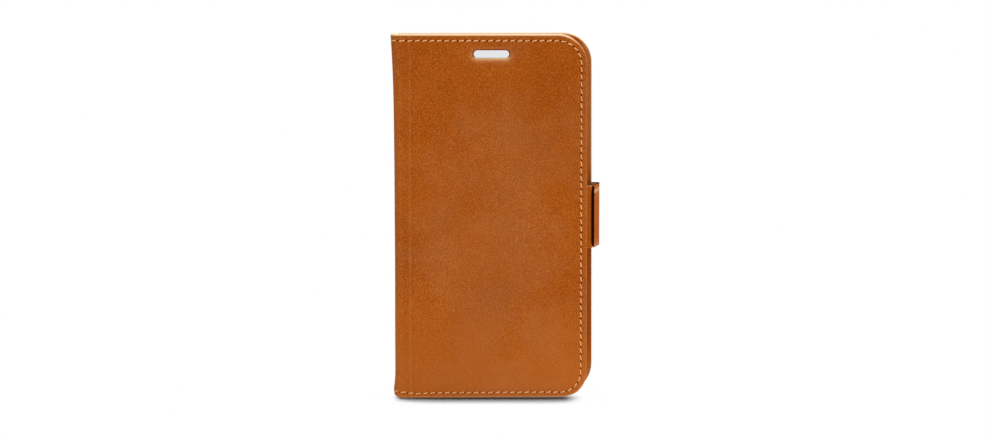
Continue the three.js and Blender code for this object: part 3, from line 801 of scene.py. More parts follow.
def shape_cover(name, side, reach, opening):
    """The outer leather of one cover and half the spine, turned in round its three rims."""
    s = sizes()
    end = way_to(reach)
    margin = s.turn_in + rim_lengths()[1]
    width, tall = end - s.rim_round + margin, HEIGHT + 2 * (margin - s.rim_round)
    sheet = add_hide(name, end, width, tall, opening)
    rubbed_and_painted_light, skived = [], []
    for vertex in sheet.data.vertices:
        from_side, from_end = width - vertex.co.x, min(vertex.co.y, tall - vertex.co.y)
        upper = vertex.co.y > tall / 2
        way, rise, inset, depth = turn_in_hide(from_side, from_end, end, corner_radius(side, upper))
        height = HEIGHT - rise if upper else rise
        on_face = min(from_side, from_end) >= margin - TINY
        lip_and_face_tone = 0.0
        if on_face:
            way, height = opening.shaped(way, height)
            away = opening.clear(way, height)
            depth += face_depth(way, inset, away) + wave_depth(way, height, inset, side)
            lip_and_face_tone = lip_light_and_shade(away, (height - opening.height) / opening.half_height) + face_paling(way, inset)
        # Pale and dark marks: partly worn rims, mostly painted highlight and painted shade.
        rubbed_and_painted_light.append(lip_and_face_tone + rim_wear_and_light(inset, depth, on_face, height, side))
        skived.append(clamp((inset - s.rim_round) / MM) if on_face else 0.0)
        vertex.co = cover_place(way, height, depth, side)
    write_attribute(sheet, "rubbed_and_painted_light", rubbed_and_painted_light)
    face_towards(sheet, side)
    group = sheet.vertex_groups.new(name="hide")
    for index, weight in enumerate(skived):
        group.add([index], weight, "REPLACE")
    apply_modifier(
        sheet, "SOLIDIFY", thickness=s.hide_ply, offset=-1, vertex_group="hide",
        thickness_vertex_group=s.skived_ply / s.hide_ply,
    )
    smooth(sheet)
    dress(sheet, "hide")
    return sheet


def face_depth(way, inset, away):
    """How deep the face is pressed: at the seam, the opening and the hinge crease, which has a
    slight lip on the spine's side."""
    s = sizes()
    off = way - way_to(s.crease_place)
    crease_width, lip_place, lip_width = 0.45 * MM, -0.9 * MM, 0.6 * MM
    depth = s.groove_depth * bell(inset, s.seam_inset, s.groove_width)
    depth += s.crease_depth * (bell(off, 0, crease_width) - 0.5 * bell(off, lip_place, lip_width))
    return depth + s.slot_press * max(0.0, 1 - away / s.slot_spread) ** 2


def wave_depth(way, height, inset, seed):
    """Slow waves that leather keeps over a board, dying out towards the seam."""
    wide, tall, calm, fade = 28 * MM, 34 * MM, 3 * MM, 8 * MM
    place = Vector((way / wide, height / tall, 3.0 * seed))
    return sizes().waviness * clamp((inset - calm) / fade) * noise.noise(place)


def lip_light_and_shade(away, rise):
    """Painted light round an opening's lip: painted highlight, most below and at its ends, and painted
    shade at its very edge above. rise goes from -1 at the opening's foot to 1 at its head."""
    lip_highlight_fade, upper_shade_width, upper_shade_fade = 1.1 * MM, 0.75 * MM, 0.4 * MM
    pale = (0.75 - 0.28 * max(-1.0, min(1.0, rise))) * math.exp(-away / lip_highlight_fade)
    upper_shade = clamp((rise + 0.9) / 0.5) * clamp((upper_shade_width - away) / upper_shade_fade)
    return pale * (1 - upper_shade) - 0.7 * upper_shade


def face_paling(way, inset):
    """How much paler the face is: a painted highlight on the lip beside its hinge crease, and paler where
    it leaves the fold and past its seam.
    """
    s = sizes()
    beside, crease_width, fold_fade = 0.5 * MM, 0.6 * MM, 2 * MM
    seam_edge, seam_fade = s.seam_inset - 0.3 * MM, 0.5 * MM
    crease = 0.15 * bell(way, way_to(s.crease_place) - beside, crease_width)
    fold = 0.12 * clamp(1 - (way - fold_end()) / fold_fade)
    return crease + fold + 0.08 * clamp((seam_edge - inset) / seam_fade)


def rim_wear_and_light(inset, depth, on_face, height, side):
    """How pale a rim is, partly worn and mostly painted highlight: most at the front cover's top, under the
    top lamp, and more at its foot, where the table's light bounces. Painted shade darkens the back cover's
    lower half, where it is least."""
    s = sizes()
    from_head, foot, corner = HEIGHT - height, 12 * MM, 2 * MM
    if side == FRONT:
        # Painted highlight at the top, under the top lamp, and at the foot, from the table's bounce light.
        edge = 0.15 + 0.3 * max(0.0, 1 - height / foot) + 0.85 * math.exp(-from_head / (3.5 * MM))
    else:
        # The back cover's lower half is darkened with painted shade.
        shade_low, shade_high, shade_fade = 8 * MM, 90 * MM, 25 * MM
        rim_shade = clamp(min((shade_high - height) / shade_fade, (height - shade_low) / foot))
        edge = 0.34 + 0.22 * math.exp(-from_head / (6 * MM)) - 0.5 * rim_shade
    if on_face:
        return edge * max(0.0, 1 - (inset - s.rim_round) / s.rim_fade)
    return edge if depth < s.rim_depth else max(0.1, 0.9 * (1 - min(height, from_head) / corner))


def face_towards(sheet, way):
    """Turns a sheet's faces over where its flat stretch looks against the way, which is 1 or -1
    along Y."""
    sheet.data.update()
    flat_depth = max(abs(p.center.y) for p in sheet.data.polygons) - 0.6 * MM
    facing = sum(p.normal.y * p.area for p in sheet.data.polygons if abs(p.center.y) > flat_depth)
    flip_where(facing * way < 0, sheet)


def blend_cover(piece):
    """Bakes the piece's place into its mesh, so that its object sits at the origin."""
    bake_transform(piece)


def covers():
    """Each cover's side, its reach with the swell of its leather, its opening, and the parts of the
    frame that it stands for, its own body first."""
    return (
        (FRONT, FRONT_REACH, slot_opening(), ("front", "spine")),
        (BACK, BACK_REACH + sizes().back_swell, camera_opening(), ("back",)),
    )


class WALLET_OT_hide(bpy.types.Operator):
    """Makes the outer leather of both covers and the spine"""

    bl_idname = "wallet.hide"
    bl_label = "Outer leather"

    def execute(self, context):
        for side, reach, opening, parts in covers():
            hide = shape_cover(parts[0] + "_hide", side, reach, opening)
            finish_piece(hide, "tan_leather", *[part + "_leather" for part in parts])
            blend_cover(hide)
        return {"FINISHED"}


# The linings and the boards


def shape_lining(name, side, reach, opening):
    """Suede that lines one cover and half the spine, with a soft rolled edge."""
    s = sizes()
    end, top = way_to(reach) - s.lining_inset, HEIGHT - s.lining_inset
    radius = s.corner_radius - s.lining_inset
    spine = run(0, fold_start(), SPINE_STEP) + run(fold_start(), fold_end(), LINING_FOLD_STEP)
    spine += run(fold_end(), way_to(HINGE_END), LINING_HINGE_STEP)
    corner = run(end - radius, end, radius / 8)
    face = run(way_to(HINGE_END), end, LINING_STEP)
    columns = merge_lines(spine + corner + opening.columns(), face, LEAST_LINING_STEP)
    ends = run(s.lining_inset, s.lining_inset + radius, radius / 8) + run(top - radius, top, radius / 8)
    rows = merge_lines(ends + opening.rows(), run(s.lining_inset, top, LINING_STEP), LEAST_LINING_STEP)
    sheet = add_grid(name, columns, rows)
    opening.cut(sheet)
    edge_sink, edge_roll = 0.22 * MM, 1.1 * MM
    middle_way, middle_height = end - radius, HEIGHT / 2
    half_height = middle_height - s.lining_inset
    for vertex in sheet.data.vertices:
        way, height = vertex.co.x, vertex.co.y
        from_side, from_end = end - way, half_height - abs(height - middle_height)
        inset = min(from_side, from_end)
        if max(from_side, from_end) < radius:
            ring = radius - inset
            along, up = rounded(way - middle_way, height - middle_height, ring, half_height - inset, ring)
            way, height = middle_way + along, middle_height + up
        way, height = opening.shaped(way, height)
        sunk = edge_sink * max(0.0, 1 - inset / edge_roll) ** 2
        depth = COVER_DEPTH - sunk + wave_depth(way, height, inset, 2 * side)
        vertex.co = lining_place(way, height, depth, side)
    face_towards(sheet, -side)
    apply_modifier(sheet, "SOLIDIFY", thickness=s.lining_ply, offset=-1)
    smooth(sheet)
    dress(sheet, "lining")
    return sheet


class WALLET_OT_lining(bpy.types.Operator):
    """Makes the suede lining of both covers and the spine"""

    bl_idname = "wallet.lining"
    bl_label = "Lining"

    def execute(self, context):
        for side, _, opening, parts in covers():
            reach = FRONT_REACH if side == FRONT else BACK_REACH
            suede = shape_lining(parts[0] + "_suede", side, reach, opening)
            finish_piece(suede, "suede_lining", *[part + "_lining" for part in parts])
            blend_cover(suede)
        return {"FINISHED"}


def add_plate(name, low, high, left=0.0, right=0.0, steps=8):
    """An upright plate from one corner of its box to the other. left and right are the radii of
    its corners on each side."""
    start_fresh()
    low, high = Vector(low), Vector(high)
    bpy.ops.mesh.primitive_cube_add(size=1, location=(low + high) / 2)
    plate = just_added(name)
    plate.scale = high - low
    settle(plate)
    for x, radius in ((low.x, left), (high.x, right)):
        for z in (low.z, high.z) if radius > 0 else ():
            edit(plate)
            pick_edges(plate, lambda a, b: all(abs(p.x - x) + abs(p.z - z) < TINY for p in (a, b)))
            bpy.ops.mesh.bevel(offset=radius, segments=steps, affect="EDGES")
            end_edit()
    return plate


def soften(plate, width):
    """Rounds every sharp edge of a plate."""
    apply_modifier(
        plate, "BEVEL", width=width, segments=2, limit_method="ANGLE",
        angle_limit=math.radians(50), use_clamp_overlap=True,
    )
    smooth(plate)


def cut_with(piece, cutter):
    apply_modifier(piece, "BOOLEAN", operation="DIFFERENCE", object=cutter, solver="EXACT")
    bpy.data.objects.remove(cutter)


class WALLET_OT_boards(bpy.types.Operator):
    """Makes the greyboard panels that stiffen both covers"""

    bl_idname = "wallet.boards"
    bl_label = "Boards"

    def execute(self, context):
        margin = 1 * MM
        for _, _, opening, parts in covers():
            node = parts[0] + "_board"
            low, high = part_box(node)
            low, high = low + Vector((0, 0, margin)), high - Vector((margin, 0, margin))
            board = add_plate(node + "_panel", low, high, right=sizes().corner_radius - margin)
            middle = Vector((SPINE_X + opening.way - way_to(0), (low.y + high.y) / 2, opening.height))
            half = Vector((opening.half_width, (high.y - low.y) / 2 + margin, opening.half_height))
            radius = opening.radius * 0.98
            cut_with(board, add_plate("cutter", middle - half, middle + half, radius, radius))
            smooth(board, 40)
            dress(board, "board")
            finish_piece(board, "greyboard", node, body=parts[0])
        return {"FINISHED"}


# Stitching


def repeat(piece, count):
    """Repeats a piece along X, one stitch pitch apart."""
    apply_modifier(
        piece, "ARRAY", count=count, use_relative_offset=False, use_constant_offset=True,
        constant_offset_displace=(sizes().pitch, 0, 0),
    )
    make_active(piece)
    bpy.ops.object.shade_smooth()


def add_stitches(name, count):
    """A straight row of stitches along X, modelled once and repeated."""
    s = sizes()
    start_fresh()
    bpy.ops.mesh.primitive_cylinder_add(
        vertices=8, radius=0.5, depth=1, rotation=(0, QUARTER, 0), end_fill_type="NGON"
    )
    stitch = just_added(name)
    settle(stitch)
    for share in (-0.36, -0.16, 0.16, 0.36):
        slice_at(stitch, (share, 0, 0), (1, 0, 0))
    for vertex in stitch.data.vertices:
        share = abs(vertex.co.x) * 2
        swell = 0.42 + 0.58 * math.sqrt(max(0.0, 1 - share**3.2))
        vertex.co.x *= s.stitch_length
        vertex.co.y *= s.thread_width * swell
        vertex.co.z = s.thread_height * (vertex.co.z * 1.1 * swell - share**4)
    stitch.rotation_euler.z = s.stitch_slant
    stitch.location.x = s.pitch / 2
    settle(stitch)
    repeat(stitch, count)
    return stitch


def add_holes(name, count):
    """A row of needle holes, each a small dished disc."""
    s = sizes()
    start_fresh()
    bpy.ops.mesh.primitive_circle_add(vertices=8, radius=s.hole_width / 2, fill_type="NGON")
    hole = just_added(name)
    edit(hole, "FACE", "SELECT")
    for share, drop in ((0.2, 0.05 * MM), (0.15, 0.1 * MM)):
        bpy.ops.mesh.inset(thickness=s.hole_width * share, depth=-drop)
    end_edit()
    apply_modifier(hole, "SOLIDIFY", thickness=0.12 * MM, offset=-1)
    repeat(hole, count)
    return hole


def arc(centre, radius, start, end, steps=12):
    turns = [start + (end - start) * i / steps for i in range(steps + 1)]
    return [(centre[0] + radius * math.cos(t), centre[1] + radius * math.sin(t)) for t in turns]


# The foot seam's stray from straight near the spine, in mm: each place across the case, and its rise.
FOOT_SEAM = ((0.2, 0.8), (1.4, 0.7), (4.3, 0.2), (7.2, -0.2), (9, -0.35), (16, -0.08), (20, 0))


def cover_route(reach, side):
    """The seam's way round a cover: along the top, down the open side and back along the bottom."""
    s = sizes()
    upper, lower = (corner_radius(side, at_top) - s.seam_inset for at_top in (True, False))
    right, top, bottom = way_to(reach) - s.seam_inset, HEIGHT - s.seam_inset, s.seam_inset
    return (
        [(0, top)]
        + arc((right - upper, top - upper), upper, QUARTER, 0)
        + arc((right - lower, bottom + lower), lower, 0, -QUARTER)
        + [(way_to(across * MM), bottom + rise * MM) for across, rise in reversed(FOOT_SEAM)]
        + [(0, bottom + FOOT_SEAM[0][1] * MM)]
    )


def plate_route(low, high, open_left):
    """A seam's way round three sides of a plate's box, which leaves its left or right side open."""
    half, turn = 0.3 * MM, 2 * MM
    right, bottom, top = high.x - half, low.z + half, high.z - half
    route = [(low.x, top)] + arc((right - turn, top - turn), turn, QUARTER, 0, 6)
    route += arc((right - turn, bottom + turn), turn, 0, -QUARTER, 6) + [(low.x, bottom)]
    return route if open_left else [(low.x + high.x - x, low.z + high.z - z) for x, z in route]


def route_steps(route):
    return np.linalg.norm(np.diff(np.array(route), axis=0), axis=1)


def along_route(route, distances):
    """Points and directions at distances along a route."""
    points = np.array(route)
    ways = np.concatenate([[0], np.cumsum(route_steps(route))])
    near = 0.4 * MM
    flat, ahead, behind = (
        np.stack([np.interp(distances + shift, ways, points[:, i]) for i in (0, 1)], axis=1)
        for shift in (0, near, -near)
    )
    along = ahead - behind
    return flat, along / np.linalg.norm(along, axis=1)[:, None]


def lay_row(piece, route, place, row_length):
    """Bends a straight row along a route. place(way, height, lift) gives the frame's point."""
    points = np.array([vertex.co for vertex in piece.data.vertices])
    flat, along = along_route(route, points[:, 0] * route_steps(route).sum() / row_length)
    across = np.stack([-along[:, 1], along[:, 0]], axis=1)
    spots = flat + across * points[:, 1:2]
    for vertex, (way, height), lift in zip(piece.data.vertices, spots, points[:, 2]):
        vertex.co = place(way, height, lift)
    edit(piece, action="SELECT")
    bpy.ops.mesh.normals_make_consistent(inside=False)
    end_edit()


def sew(name, route, place, with_holes=True):
    """A seam's stitches and needle holes as one piece."""
    pitch = sizes().pitch
    count = round(route_steps(route).sum() / pitch)
    stitches = add_stitches(name, count)
    lay_row(stitches, route, place, count * pitch)
    dress(stitches, "thread", "hole")
    if with_holes:
        holes = add_holes(name + "_holes", count + 1)
        lay_row(holes, route, place, count * pitch)
        dress(holes, "thread", "hole")
        for face in holes.data.polygons:
            face.material_index = 1
        make_active(stitches)
        holes.select_set(True)
        bpy.ops.object.join()
    return stitches


class WALLET_OT_stitching(bpy.types.Operator):
    """Sews both covers: stitches outside and inside, with their needle holes"""

    bl_idname = "wallet.stitching"
    bl_label = "Cover stitching"

    def execute(self, context):
        s = sizes()
        sunk = 0.05 * MM
        for side, reach, _, parts in covers():
            node, route = parts[0] + "_stitching", cover_route(reach, side)
            for name, depth, way_in, replaced in (
                ("_outer", sunk, -1, [node]), ("_inner", s.rim_depth - sunk, 1, [])
            ):
                seam = sew(
                    node + name, route,
                    lambda way, up, lift: cover_place(way, up, depth + way_in * lift, side),
                    with_holes=way_in < 0,
                )
                finish_piece(seam, "thread", *replaced)
                blend_cover(seam)
        return {"FINISHED"}


class WALLET_OT_small_seams(bpy.types.Operator):
    """Sews the card pockets and the tongue"""

    bl_idname = "wallet.small_seams"
    bl_label = "Pocket and tongue stitching"

    def execute(self, context):
        for part, body in (("pocket", "front"), ("tongue", "strap_tongue")):
            low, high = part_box(part + "_stitching")
            route = plate_route(low, high, open_left=part == "pocket")
            seam = sew(part + "_seam", route, lambda x, z, lift: (x, high.y + lift, z))
            finish_piece(seam, "thread", part + "_stitching", body=body)
        return {"FINISHED"}


# The strap


def strap_line():
    """The strap's outer face seen from above, in two halves cut in the middle of its side, and the
    corners that its rear and front folds round."""
    s = sizes()
    anchor_low, anchor_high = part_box("strap_anchor")
    core_low, core_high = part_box("tongue_core")
    past_core, tucked = 0.1 * MM, 1.2 * MM
    rear = Vector((anchor_high.x + s.strap_swell, anchor_high.y))
    front = Vector((core_high.x + past_core, core_low.y))
    start, end = Vector((anchor_low.x, anchor_high.y)), Vector((core_low.x + tucked, core_low.y))
    back_half = [start] + turn_corner(start, rear, front, s.strap_fold)
    front_half = turn_corner(rear, front, end, s.strap_fold) + [end]
    middle = back_half[-1].lerp(front_half[0], 0.5)
    return back_half + [middle], [middle] + front_half, rear, front


def turn_corner(before, corner, after, radius, steps=8):
    """Points of the arc that rounds a corner of a line."""
    a, b = (before - corner).normalized(), (after - corner).normalized()
    half = a.angle(b) / 2
    centre = corner + (a + b).normalized() * (radius / math.sin(half))
    first, last = (corner + way * (radius / math.tan(half)) - centre for way in (a, b))
    sweep = -first.angle_signed(last)
    return [centre + Matrix.Rotation(sweep * i / steps, 2) @ first for i in range(steps + 1)]


def shape_strap(name, line, bottom, top):
    """A length of the strap: outer leather and lining sewn back to back, edges rounded."""
    line_step, height_step, short_edge = 0.5 * MM, 1.6 * MM, 0.7 * MM
    flat = [tuple(point) for point in line]
    sheet = add_grid(name, run(0, route_steps(flat).sum(), line_step), run(bottom, top, height_step))
    spots, _ = along_route(flat, np.array([v.co.x for v in sheet.data.vertices]))
    for vertex, spot in zip(sheet.data.vertices, spots):
        vertex.co = (*spot, vertex.co.y)
    sheet.data.update()
    flip_where(sum(p.normal.x * p.area for p in sheet.data.polygons) < 0, sheet)
    low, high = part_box("strap_anchor")
    ply = high.y - low.y
    apply_modifier(sheet, "SOLIDIFY", thickness=ply, offset=-1, use_rim=True)
    edit(sheet)
    pick_edges(
        sheet, lambda a, b: all(min(abs(p.z - bottom), abs(p.z - top)) < TINY for p in (a, b))
        and (a - b).length < short_edge,
    )
    bpy.ops.mesh.bevel(offset=0.3 * ply, segments=3, affect="EDGES")
    end_edit()
    smooth(sheet, 60)
    return sheet


def strap_highlight(share, turn):
    """Painted highlight on the strap's side: just under the top, at the foot, and a painted reflection
    round its rear fold. share is of the height, and turn how far the leather has turned to the rear."""
    return 0.6 * bell(share, 0.9, 0.045) + 0.35 * bell(share, 0, 0.1) + 0.45 * clamp((turn - 0.3) / 0.3)


def paint_strap(sheet, bottom, top, lap):
    """Leather outside, split leather inside and paint on the edges. lap is the least upward or
    downward share of a painted face's normal, which is small where the paint laps the plies."""
    dress(sheet, "strap", "strap_lining", "edge")
    inside = Vector((SPINE_X + 60 * MM, 0, 0))
    for face in sheet.data.polygons:
        if abs(face.normal.z) > lap:
            face.material_index = 2
        else:
            face.material_index = 1 if face.normal.dot(inside - face.center) > 0 else 0
    # Painted highlight and reflection on the strap's faces.
    highlight = [strap_highlight((f.center.z - bottom) / (top - bottom), f.normal.y) for f in sheet.data.polygons]
    write_attribute(sheet, "rubbed_and_painted_light", highlight, "FACE")


def shape_backing():
    """The tongue's rear ply, with painted edges."""
    low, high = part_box("tongue_backing")
    backing = add_plate("tongue_backing_leather", low, high, left=sizes().tongue_corner, right=1.6 * MM)
    soften(backing, 0.16 * MM)
    dress(backing, "strap", "edge")
    for face in backing.data.polygons:
        face.material_index = 1 if abs(face.normal.y) < 0.5 else 0
    return backing


def shape_facing():
    """The tongue's front ply, its outer edge pared to a slope that runs out at its ends; the dark paint on
    the slope is partly edge paint and partly painted shade of the gap before the strap's side.
    """
    low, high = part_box("tongue_facing")
    plate = add_plate("tongue_facing_leather", low, high, left=sizes().tongue_corner, right=0.6 * MM)
    bow_run, step, edge_width, paint_width = 4 * MM, 0.8 * MM, 0.5 * MM, 1.6 * MM
    rises = run(step, bow_run, step)
    for height in [low.z + rise for rise in rises] + [high.z - rise for rise in rises]:
        slice_at(plate, (0, 0, height), (0, 0, 1))
    soften(plate, 0.12 * MM)
    middle = (low.y + high.y) / 2
    rear_swell, front_paring, bow_paring = 0.55 * MM, 0.1 * MM, 0.75 * MM
    for vertex in plate.data.vertices:
        near_edge = max(0.0, 1 - (high.x - vertex.co.x) / edge_width)
        from_end = min(vertex.co.z - low.z, high.z - vertex.co.z)
        bow = 1 - (1 - min(1.0, from_end / bow_run)) ** 2
        shift = rear_swell if vertex.co.y > middle else -front_paring - bow_paring * bow
        vertex.co.x += near_edge * shift
    plate.data.update()
    dress(plate, "strap", "edge")
    for face in plate.data.polygons:
        at = face.center
        pared = at.x > high.x - paint_width and face.normal.x > 0.08 and at.z > low.z + step
        face.material_index = 1 if pared else 0
    # Painted highlight on the ply's edges, where the top lamp catches them.
    rubbed_and_painted_light = [0.0 if abs(face.normal.y) > 0.95 else 0.9 for face in plate.data.polygons]
    write_attribute(plate, "rubbed_and_painted_light", rubbed_and_painted_light, "FACE")
    return plate


class WALLET_OT_strap(bpy.types.Operator):
    """Makes the closing strap and its tongue"""

    bl_idname = "wallet.strap"
    bl_label = "Strap and tongue"

    def execute(self, context):
        s = sizes()
        low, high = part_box("strap_anchor")
        bottom, top = low.z, high.z
        rear_line, front_line, rear, front = strap_line()
        rear_part = shape_strap("strap_rear", rear_line, bottom, top + s.strap_rise)
        paint_strap(rear_part, bottom, top, 0.2)
        finish_piece(rear_part, "tan_leather", "strap_anchor", "strap_side_leather")
        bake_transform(rear_part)
        front_part = shape_strap("strap_front", front_line, bottom, top)
        paint_strap(front_part, bottom, top, 0.85)
        finish_piece(front_part, "strap_lining_leather", "strap_side_lining", "tongue_core")
        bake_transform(front_part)
        finish_piece(shape_backing(), "tan_leather", "tongue_backing", body="strap_tongue")
        finish_piece(shape_facing(), "tan_leather", "tongue_facing", body="strap_tongue")
        return {"FINISHED"}


# The pockets, the tray and what stays of the frame


class WALLET_OT_pockets(bpy.types.Operator):
    """Makes the money pocket and the three card pockets"""

    bl_idname = "wallet.pockets"
    bl_label = "Pockets"

    def execute(self, context):
        crease, half_crease, crease_depth = 1.6 * MM, 0.25 * MM, 0.12 * MM
        for node, finish, slot in (
            ("money_pocket", "lining", "suede_lining"),
            ("card_pocket_1", "hide", "tan_leather"),
            ("card_pocket_2", "hide", "tan_leather"),
            ("card_pocket_3", "hide", "tan_leather"),
        ):
            low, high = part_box(node)
            plate = add_plate(node + "_ply", low, high, right=3 * MM)
            for offset in (-half_crease, 0, half_crease):
                slice_at(plate, (low.x + crease + offset, 0, 0), (1, 0, 0))
            for vertex in plate.data.vertices:
                if abs(vertex.co.x - low.x - crease) < TINY and vertex.co.y > (low.y + high.y) / 2:
                    vertex.co.y -= crease_depth
            soften(plate, 0.12 * MM)
            dress(plate, finish)
            finish_piece(plate, slot, node, body="front")
        return {"FINISHED"}


class WALLET_OT_tray(bpy.types.Operator):
    """Makes the moulded tray that holds the phone"""

    bl_idname = "wallet.tray"
    bl_label = "Phone tray"

    def execute(self, context):
        s = sizes()
        low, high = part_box("phone_tray")
        tray = add_plate("phone_tray_shell", low, high, s.tray_corner, s.tray_corner, 10)
        inner = s.tray_corner - s.tray_wall
        bay_low = low + Vector((s.tray_wall, -MM, s.tray_wall))
        bay_high = high - Vector((s.tray_wall, s.tray_floor, s.tray_wall))
        cut_with(tray, add_plate("cutter", bay_low, bay_high, inner, inner, 10))
        for start, end, radius in self.cuts(low, high, 1 * MM):
            cut_with(tray, add_plate("cutter", start, end, radius, radius))
        soften(tray, 0.3 * MM)
        dress(tray, "tray")
        finish_piece(tray, "tray_shell", "phone_tray", body="back")
        return {"FINISHED"}

    def cuts(self, low, high, over):
        """Boxes, with their corner radii, of the camera opening, the port, the speaker slits and
        the button gaps. Each runs past the tray by over."""
        s = sizes()
        centre = (low.x + high.x) / 2
        opening = camera_opening()
        width, tall = opening.half_width, opening.half_height
        yield (
            (centre - width, high.y - s.tray_floor - over, opening.height - tall),
            (centre + width, high.y + over, opening.height + tall), opening.radius,
        )
        near = low.y + s.port_inset
        for middle, width, inset in (
            (centre, s.port_width, 0), (centre - s.speaker_place, s.speaker_width, s.speaker_inset),
            (centre + s.speaker_place, s.speaker_width, s.speaker_inset),
        ):
            yield (
                (middle - width / 2, near + inset, low.z - over),
                (middle + width / 2, near + s.port_depth - inset, low.z + s.tray_wall + over), 0,
            )
        for left, right, drop, tall in (
            (high.x - s.tray_wall - over, high.x + over, s.power_drop, s.power_tall),
            (low.x - over, low.x + s.tray_wall + over, s.volume_drop, s.volume_tall),
        ):
            middle = high.z - s.tray_wall - drop
            yield (
                (left, low.y - over, middle - tall / 2),
                (right, low.y + s.button_depth, middle + tall / 2), 0,
            )


class WALLET_OT_hidden_parts(bpy.types.Operator):
    """Gives the frame's own parts that stay in view their finishes"""

    bl_idname = "wallet.hidden_parts"
    bl_label = "Stiffener, plates and pad"

    def execute(self, context):
        for node, finish in (
            ("spine_stiffener", "board"), ("keeper_plate", "steel"), ("tongue_magnet", "plating"),
            ("adhesive_pad", "foam"),
        ):
            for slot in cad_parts[node].material_slots:
                slot.material = MATERIALS[finish]
        return {"FINISHED"}


# The stage


def mix_for_eye(tree, unseen, seen):
    """A shader that is the seen one to the camera, in gloss and through glass, and else the unseen."""
    path = add_node(tree, "LightPath").outputs
    eye = path["Is Camera Ray"]
    for ray in ("Is Glossy Ray", "Is Transmission Ray"):
        eye = add_node(tree, "Math", (eye, path[ray]), operation="MAXIMUM").outputs[0]
    return add_node(tree, "MixShader", (eye, unseen, seen)).outputs[0]


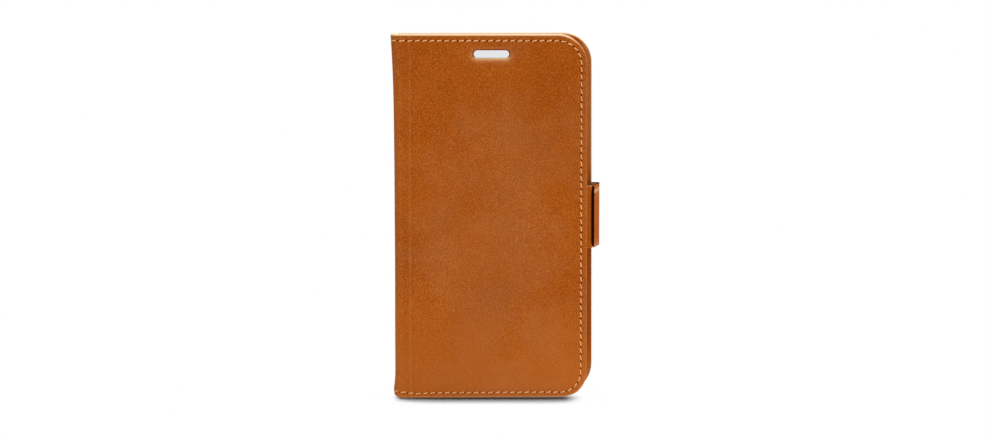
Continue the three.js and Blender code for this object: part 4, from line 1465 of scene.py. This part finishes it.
class WALLET_OT_stage(bpy.types.Operator):
    """Makes the white sweep, the lamps and the camera"""

    bl_idname = "wallet.stage"
    bl_label = "Stage"

    def execute(self, context):
        scene = context.scene
        scene.view_settings.view_transform = "Standard"
        self.make_floor()
        self.make_world(scene)
        for name, place, aim_height, size, power in (
            ("key", (-0.3, -1.0, 0.6), 0.07, 0.8, 1.35),
            ("fill", (0.3, -1.0, 0.15), 0.07, 0.8, 1.2),
            ("side", (0.9, 0.1, 0.6), 0.07, 0.5, 1.8),
            ("top", (0.1, 0.0, 0.8), 0.1, 0.4, 6.8),
        ):
            start_fresh()
            bpy.ops.object.light_add(type="AREA", location=place)
            lamp = context.object
            lamp.name = name
            lamp.data.size = size
            lamp.data.energy = power
            aim = Vector((0, 0, aim_height)) - lamp.location
            lamp.rotation_euler = aim.to_track_quat("-Z", "Y").to_euler()
        self.make_camera(scene)
        return {"FINISHED"}

    def make_floor(self):
        """A white table top. It shows white to the camera, with a painted contact shadow under the case and
        a painted shade far behind it.
        """
        start_fresh()
        bpy.ops.mesh.primitive_plane_add(size=8, location=(0, 0, 0))
        floor = bpy.context.object
        floor.name = "floor"
        material = bpy.data.materials.new("white_table")
        material.use_nodes = True
        tree = material.node_tree
        tree.nodes.clear()
        sky = add_node(tree, "AmbientOcclusion", {"Distance": 22 * MM}, samples=8).outputs["AO"]
        place = add_node(tree, "TexCoord").outputs["Object"]
        axes = add_node(tree, "SeparateXYZ", {"Vector": place}).outputs
        away = away_from(tree, place, (SPINE_X + 39 * MM, 1.785, 0), (0.06, 0.2, 1))
        contact_shadow, white, far_shade = (0.05, 0.035, 0.025), (1, 1, 1), (0.78, 0.79, 0.8)
        right, shade = SPINE_X + FRONT_REACH, contact_shadow
        for tone, pattern, *fade in (
            (white, sky, 0.6, 0.9),
            # Painted contact shadow, faded out behind the case and beside it as if the lamps stood high in
            # front.
            (white, axes["Y"], FRONT_FACE, 0.0, 0.0, 0.8),
            (white, axes["X"], right - 10 * MM, right - 1 * MM, 0.0, 0.97),
            (white, axes["X"], SPINE_X + 2.7 * MM, SPINE_X - 1.5 * MM, 0.0, 0.97),
            # Painted shade on the sweep far behind the case, which shows only through the slot.
            (far_shade, away, 1.0, 0.6),
        ):
            shade = tinted(tree, shade, tone, pattern, *fade)
        glow = add_node(tree, "Emission", {"Color": shade, "Strength": 1.0}).outputs[0]
        plain = add_node(tree, "BsdfDiffuse", {"Color": (0.92, 0.92, 0.92)}).outputs[0]
        add_node(tree, "OutputMaterial", {"Surface": mix_for_eye(tree, plain, glow)})
        floor.data.materials.append(material)

    def make_world(self, scene):
        """A soft cool light all round, which shows white to the camera."""
        world = bpy.data.worlds.new("studio")
        scene.world = world
        world.use_nodes = True
        tree = world.node_tree
        tree.nodes.clear()
        soft, white = (
            add_node(tree, "Background", {"Color": tone, "Strength": strength}).outputs[0]
            for tone, strength in (((0.95, 0.97, 1), 0.38), ((1, 1, 1), 1.0))
        )
        add_node(tree, "OutputWorld", {"Surface": mix_for_eye(tree, soft, white)})

    def make_camera(self, scene):
        """The photograph's view: level with the case's middle, from a little above it."""
        distance, elevation, lowered = 1.4, math.radians(7.4), 0.73 * MM
        across = (PHOTO_WIDTH / 2 - CASE_LEFT_PX) * PX
        target = Vector((SPINE_X + across, FRONT_FACE, HEIGHT / 2 - lowered))
        back = Vector((0, -math.cos(elevation), math.sin(elevation)))
        start_fresh()
        bpy.ops.object.camera_add(location=target + back * distance)
        camera = bpy.context.object
        camera.rotation_euler = (-back).to_track_quat("-Z", "Y").to_euler()
        camera.data.sensor_width = 36
        camera.data.lens = camera.data.sensor_width * distance / (PHOTO_WIDTH * PX)
        camera.data.clip_start, camera.data.clip_end = 0.1, 30
        scene.camera = camera


class WALLET_PT_panel(bpy.types.Panel):
    """Lists the case's pieces, sizes and colours"""

    bl_idname = "WALLET_PT_panel"
    bl_label = "Phone Wallet"
    bl_space_type = "VIEW_3D"
    bl_region_type = "UI"
    bl_category = "Phone Wallet"

    def draw(self, context):
        for operator in OPERATORS:
            self.layout.operator(operator.bl_idname)
        for group in (sizes(), colours()):
            for name in group.__annotations__:
                self.layout.prop(group, name)


OPERATORS = (
    WALLET_OT_stage, WALLET_OT_hide, WALLET_OT_lining, WALLET_OT_boards, WALLET_OT_stitching,
    WALLET_OT_strap, WALLET_OT_pockets, WALLET_OT_tray, WALLET_OT_small_seams, WALLET_OT_hidden_parts,
)
CLASSES = (WalletSizes, WalletColours, *OPERATORS, WALLET_PT_panel)


def register():
    for cls in CLASSES:
        bpy.utils.register_class(cls)
    bpy.types.Scene.wallet_sizes = PointerProperty(type=WalletSizes)
    bpy.types.Scene.wallet_colours = PointerProperty(type=WalletColours)


def unregister():
    del bpy.types.Scene.wallet_colours
    del bpy.types.Scene.wallet_sizes
    for cls in reversed(CLASSES):
        bpy.utils.unregister_class(cls)


def main():
    register()
    make_materials()
    for operator in OPERATORS:
        step = getattr(bpy.ops.wallet, operator.bl_idname.split(".")[1])
        if step() != {"FINISHED"}:
            raise RuntimeError(operator.bl_label + " was not made")


if __name__ == "__main__":
    main()
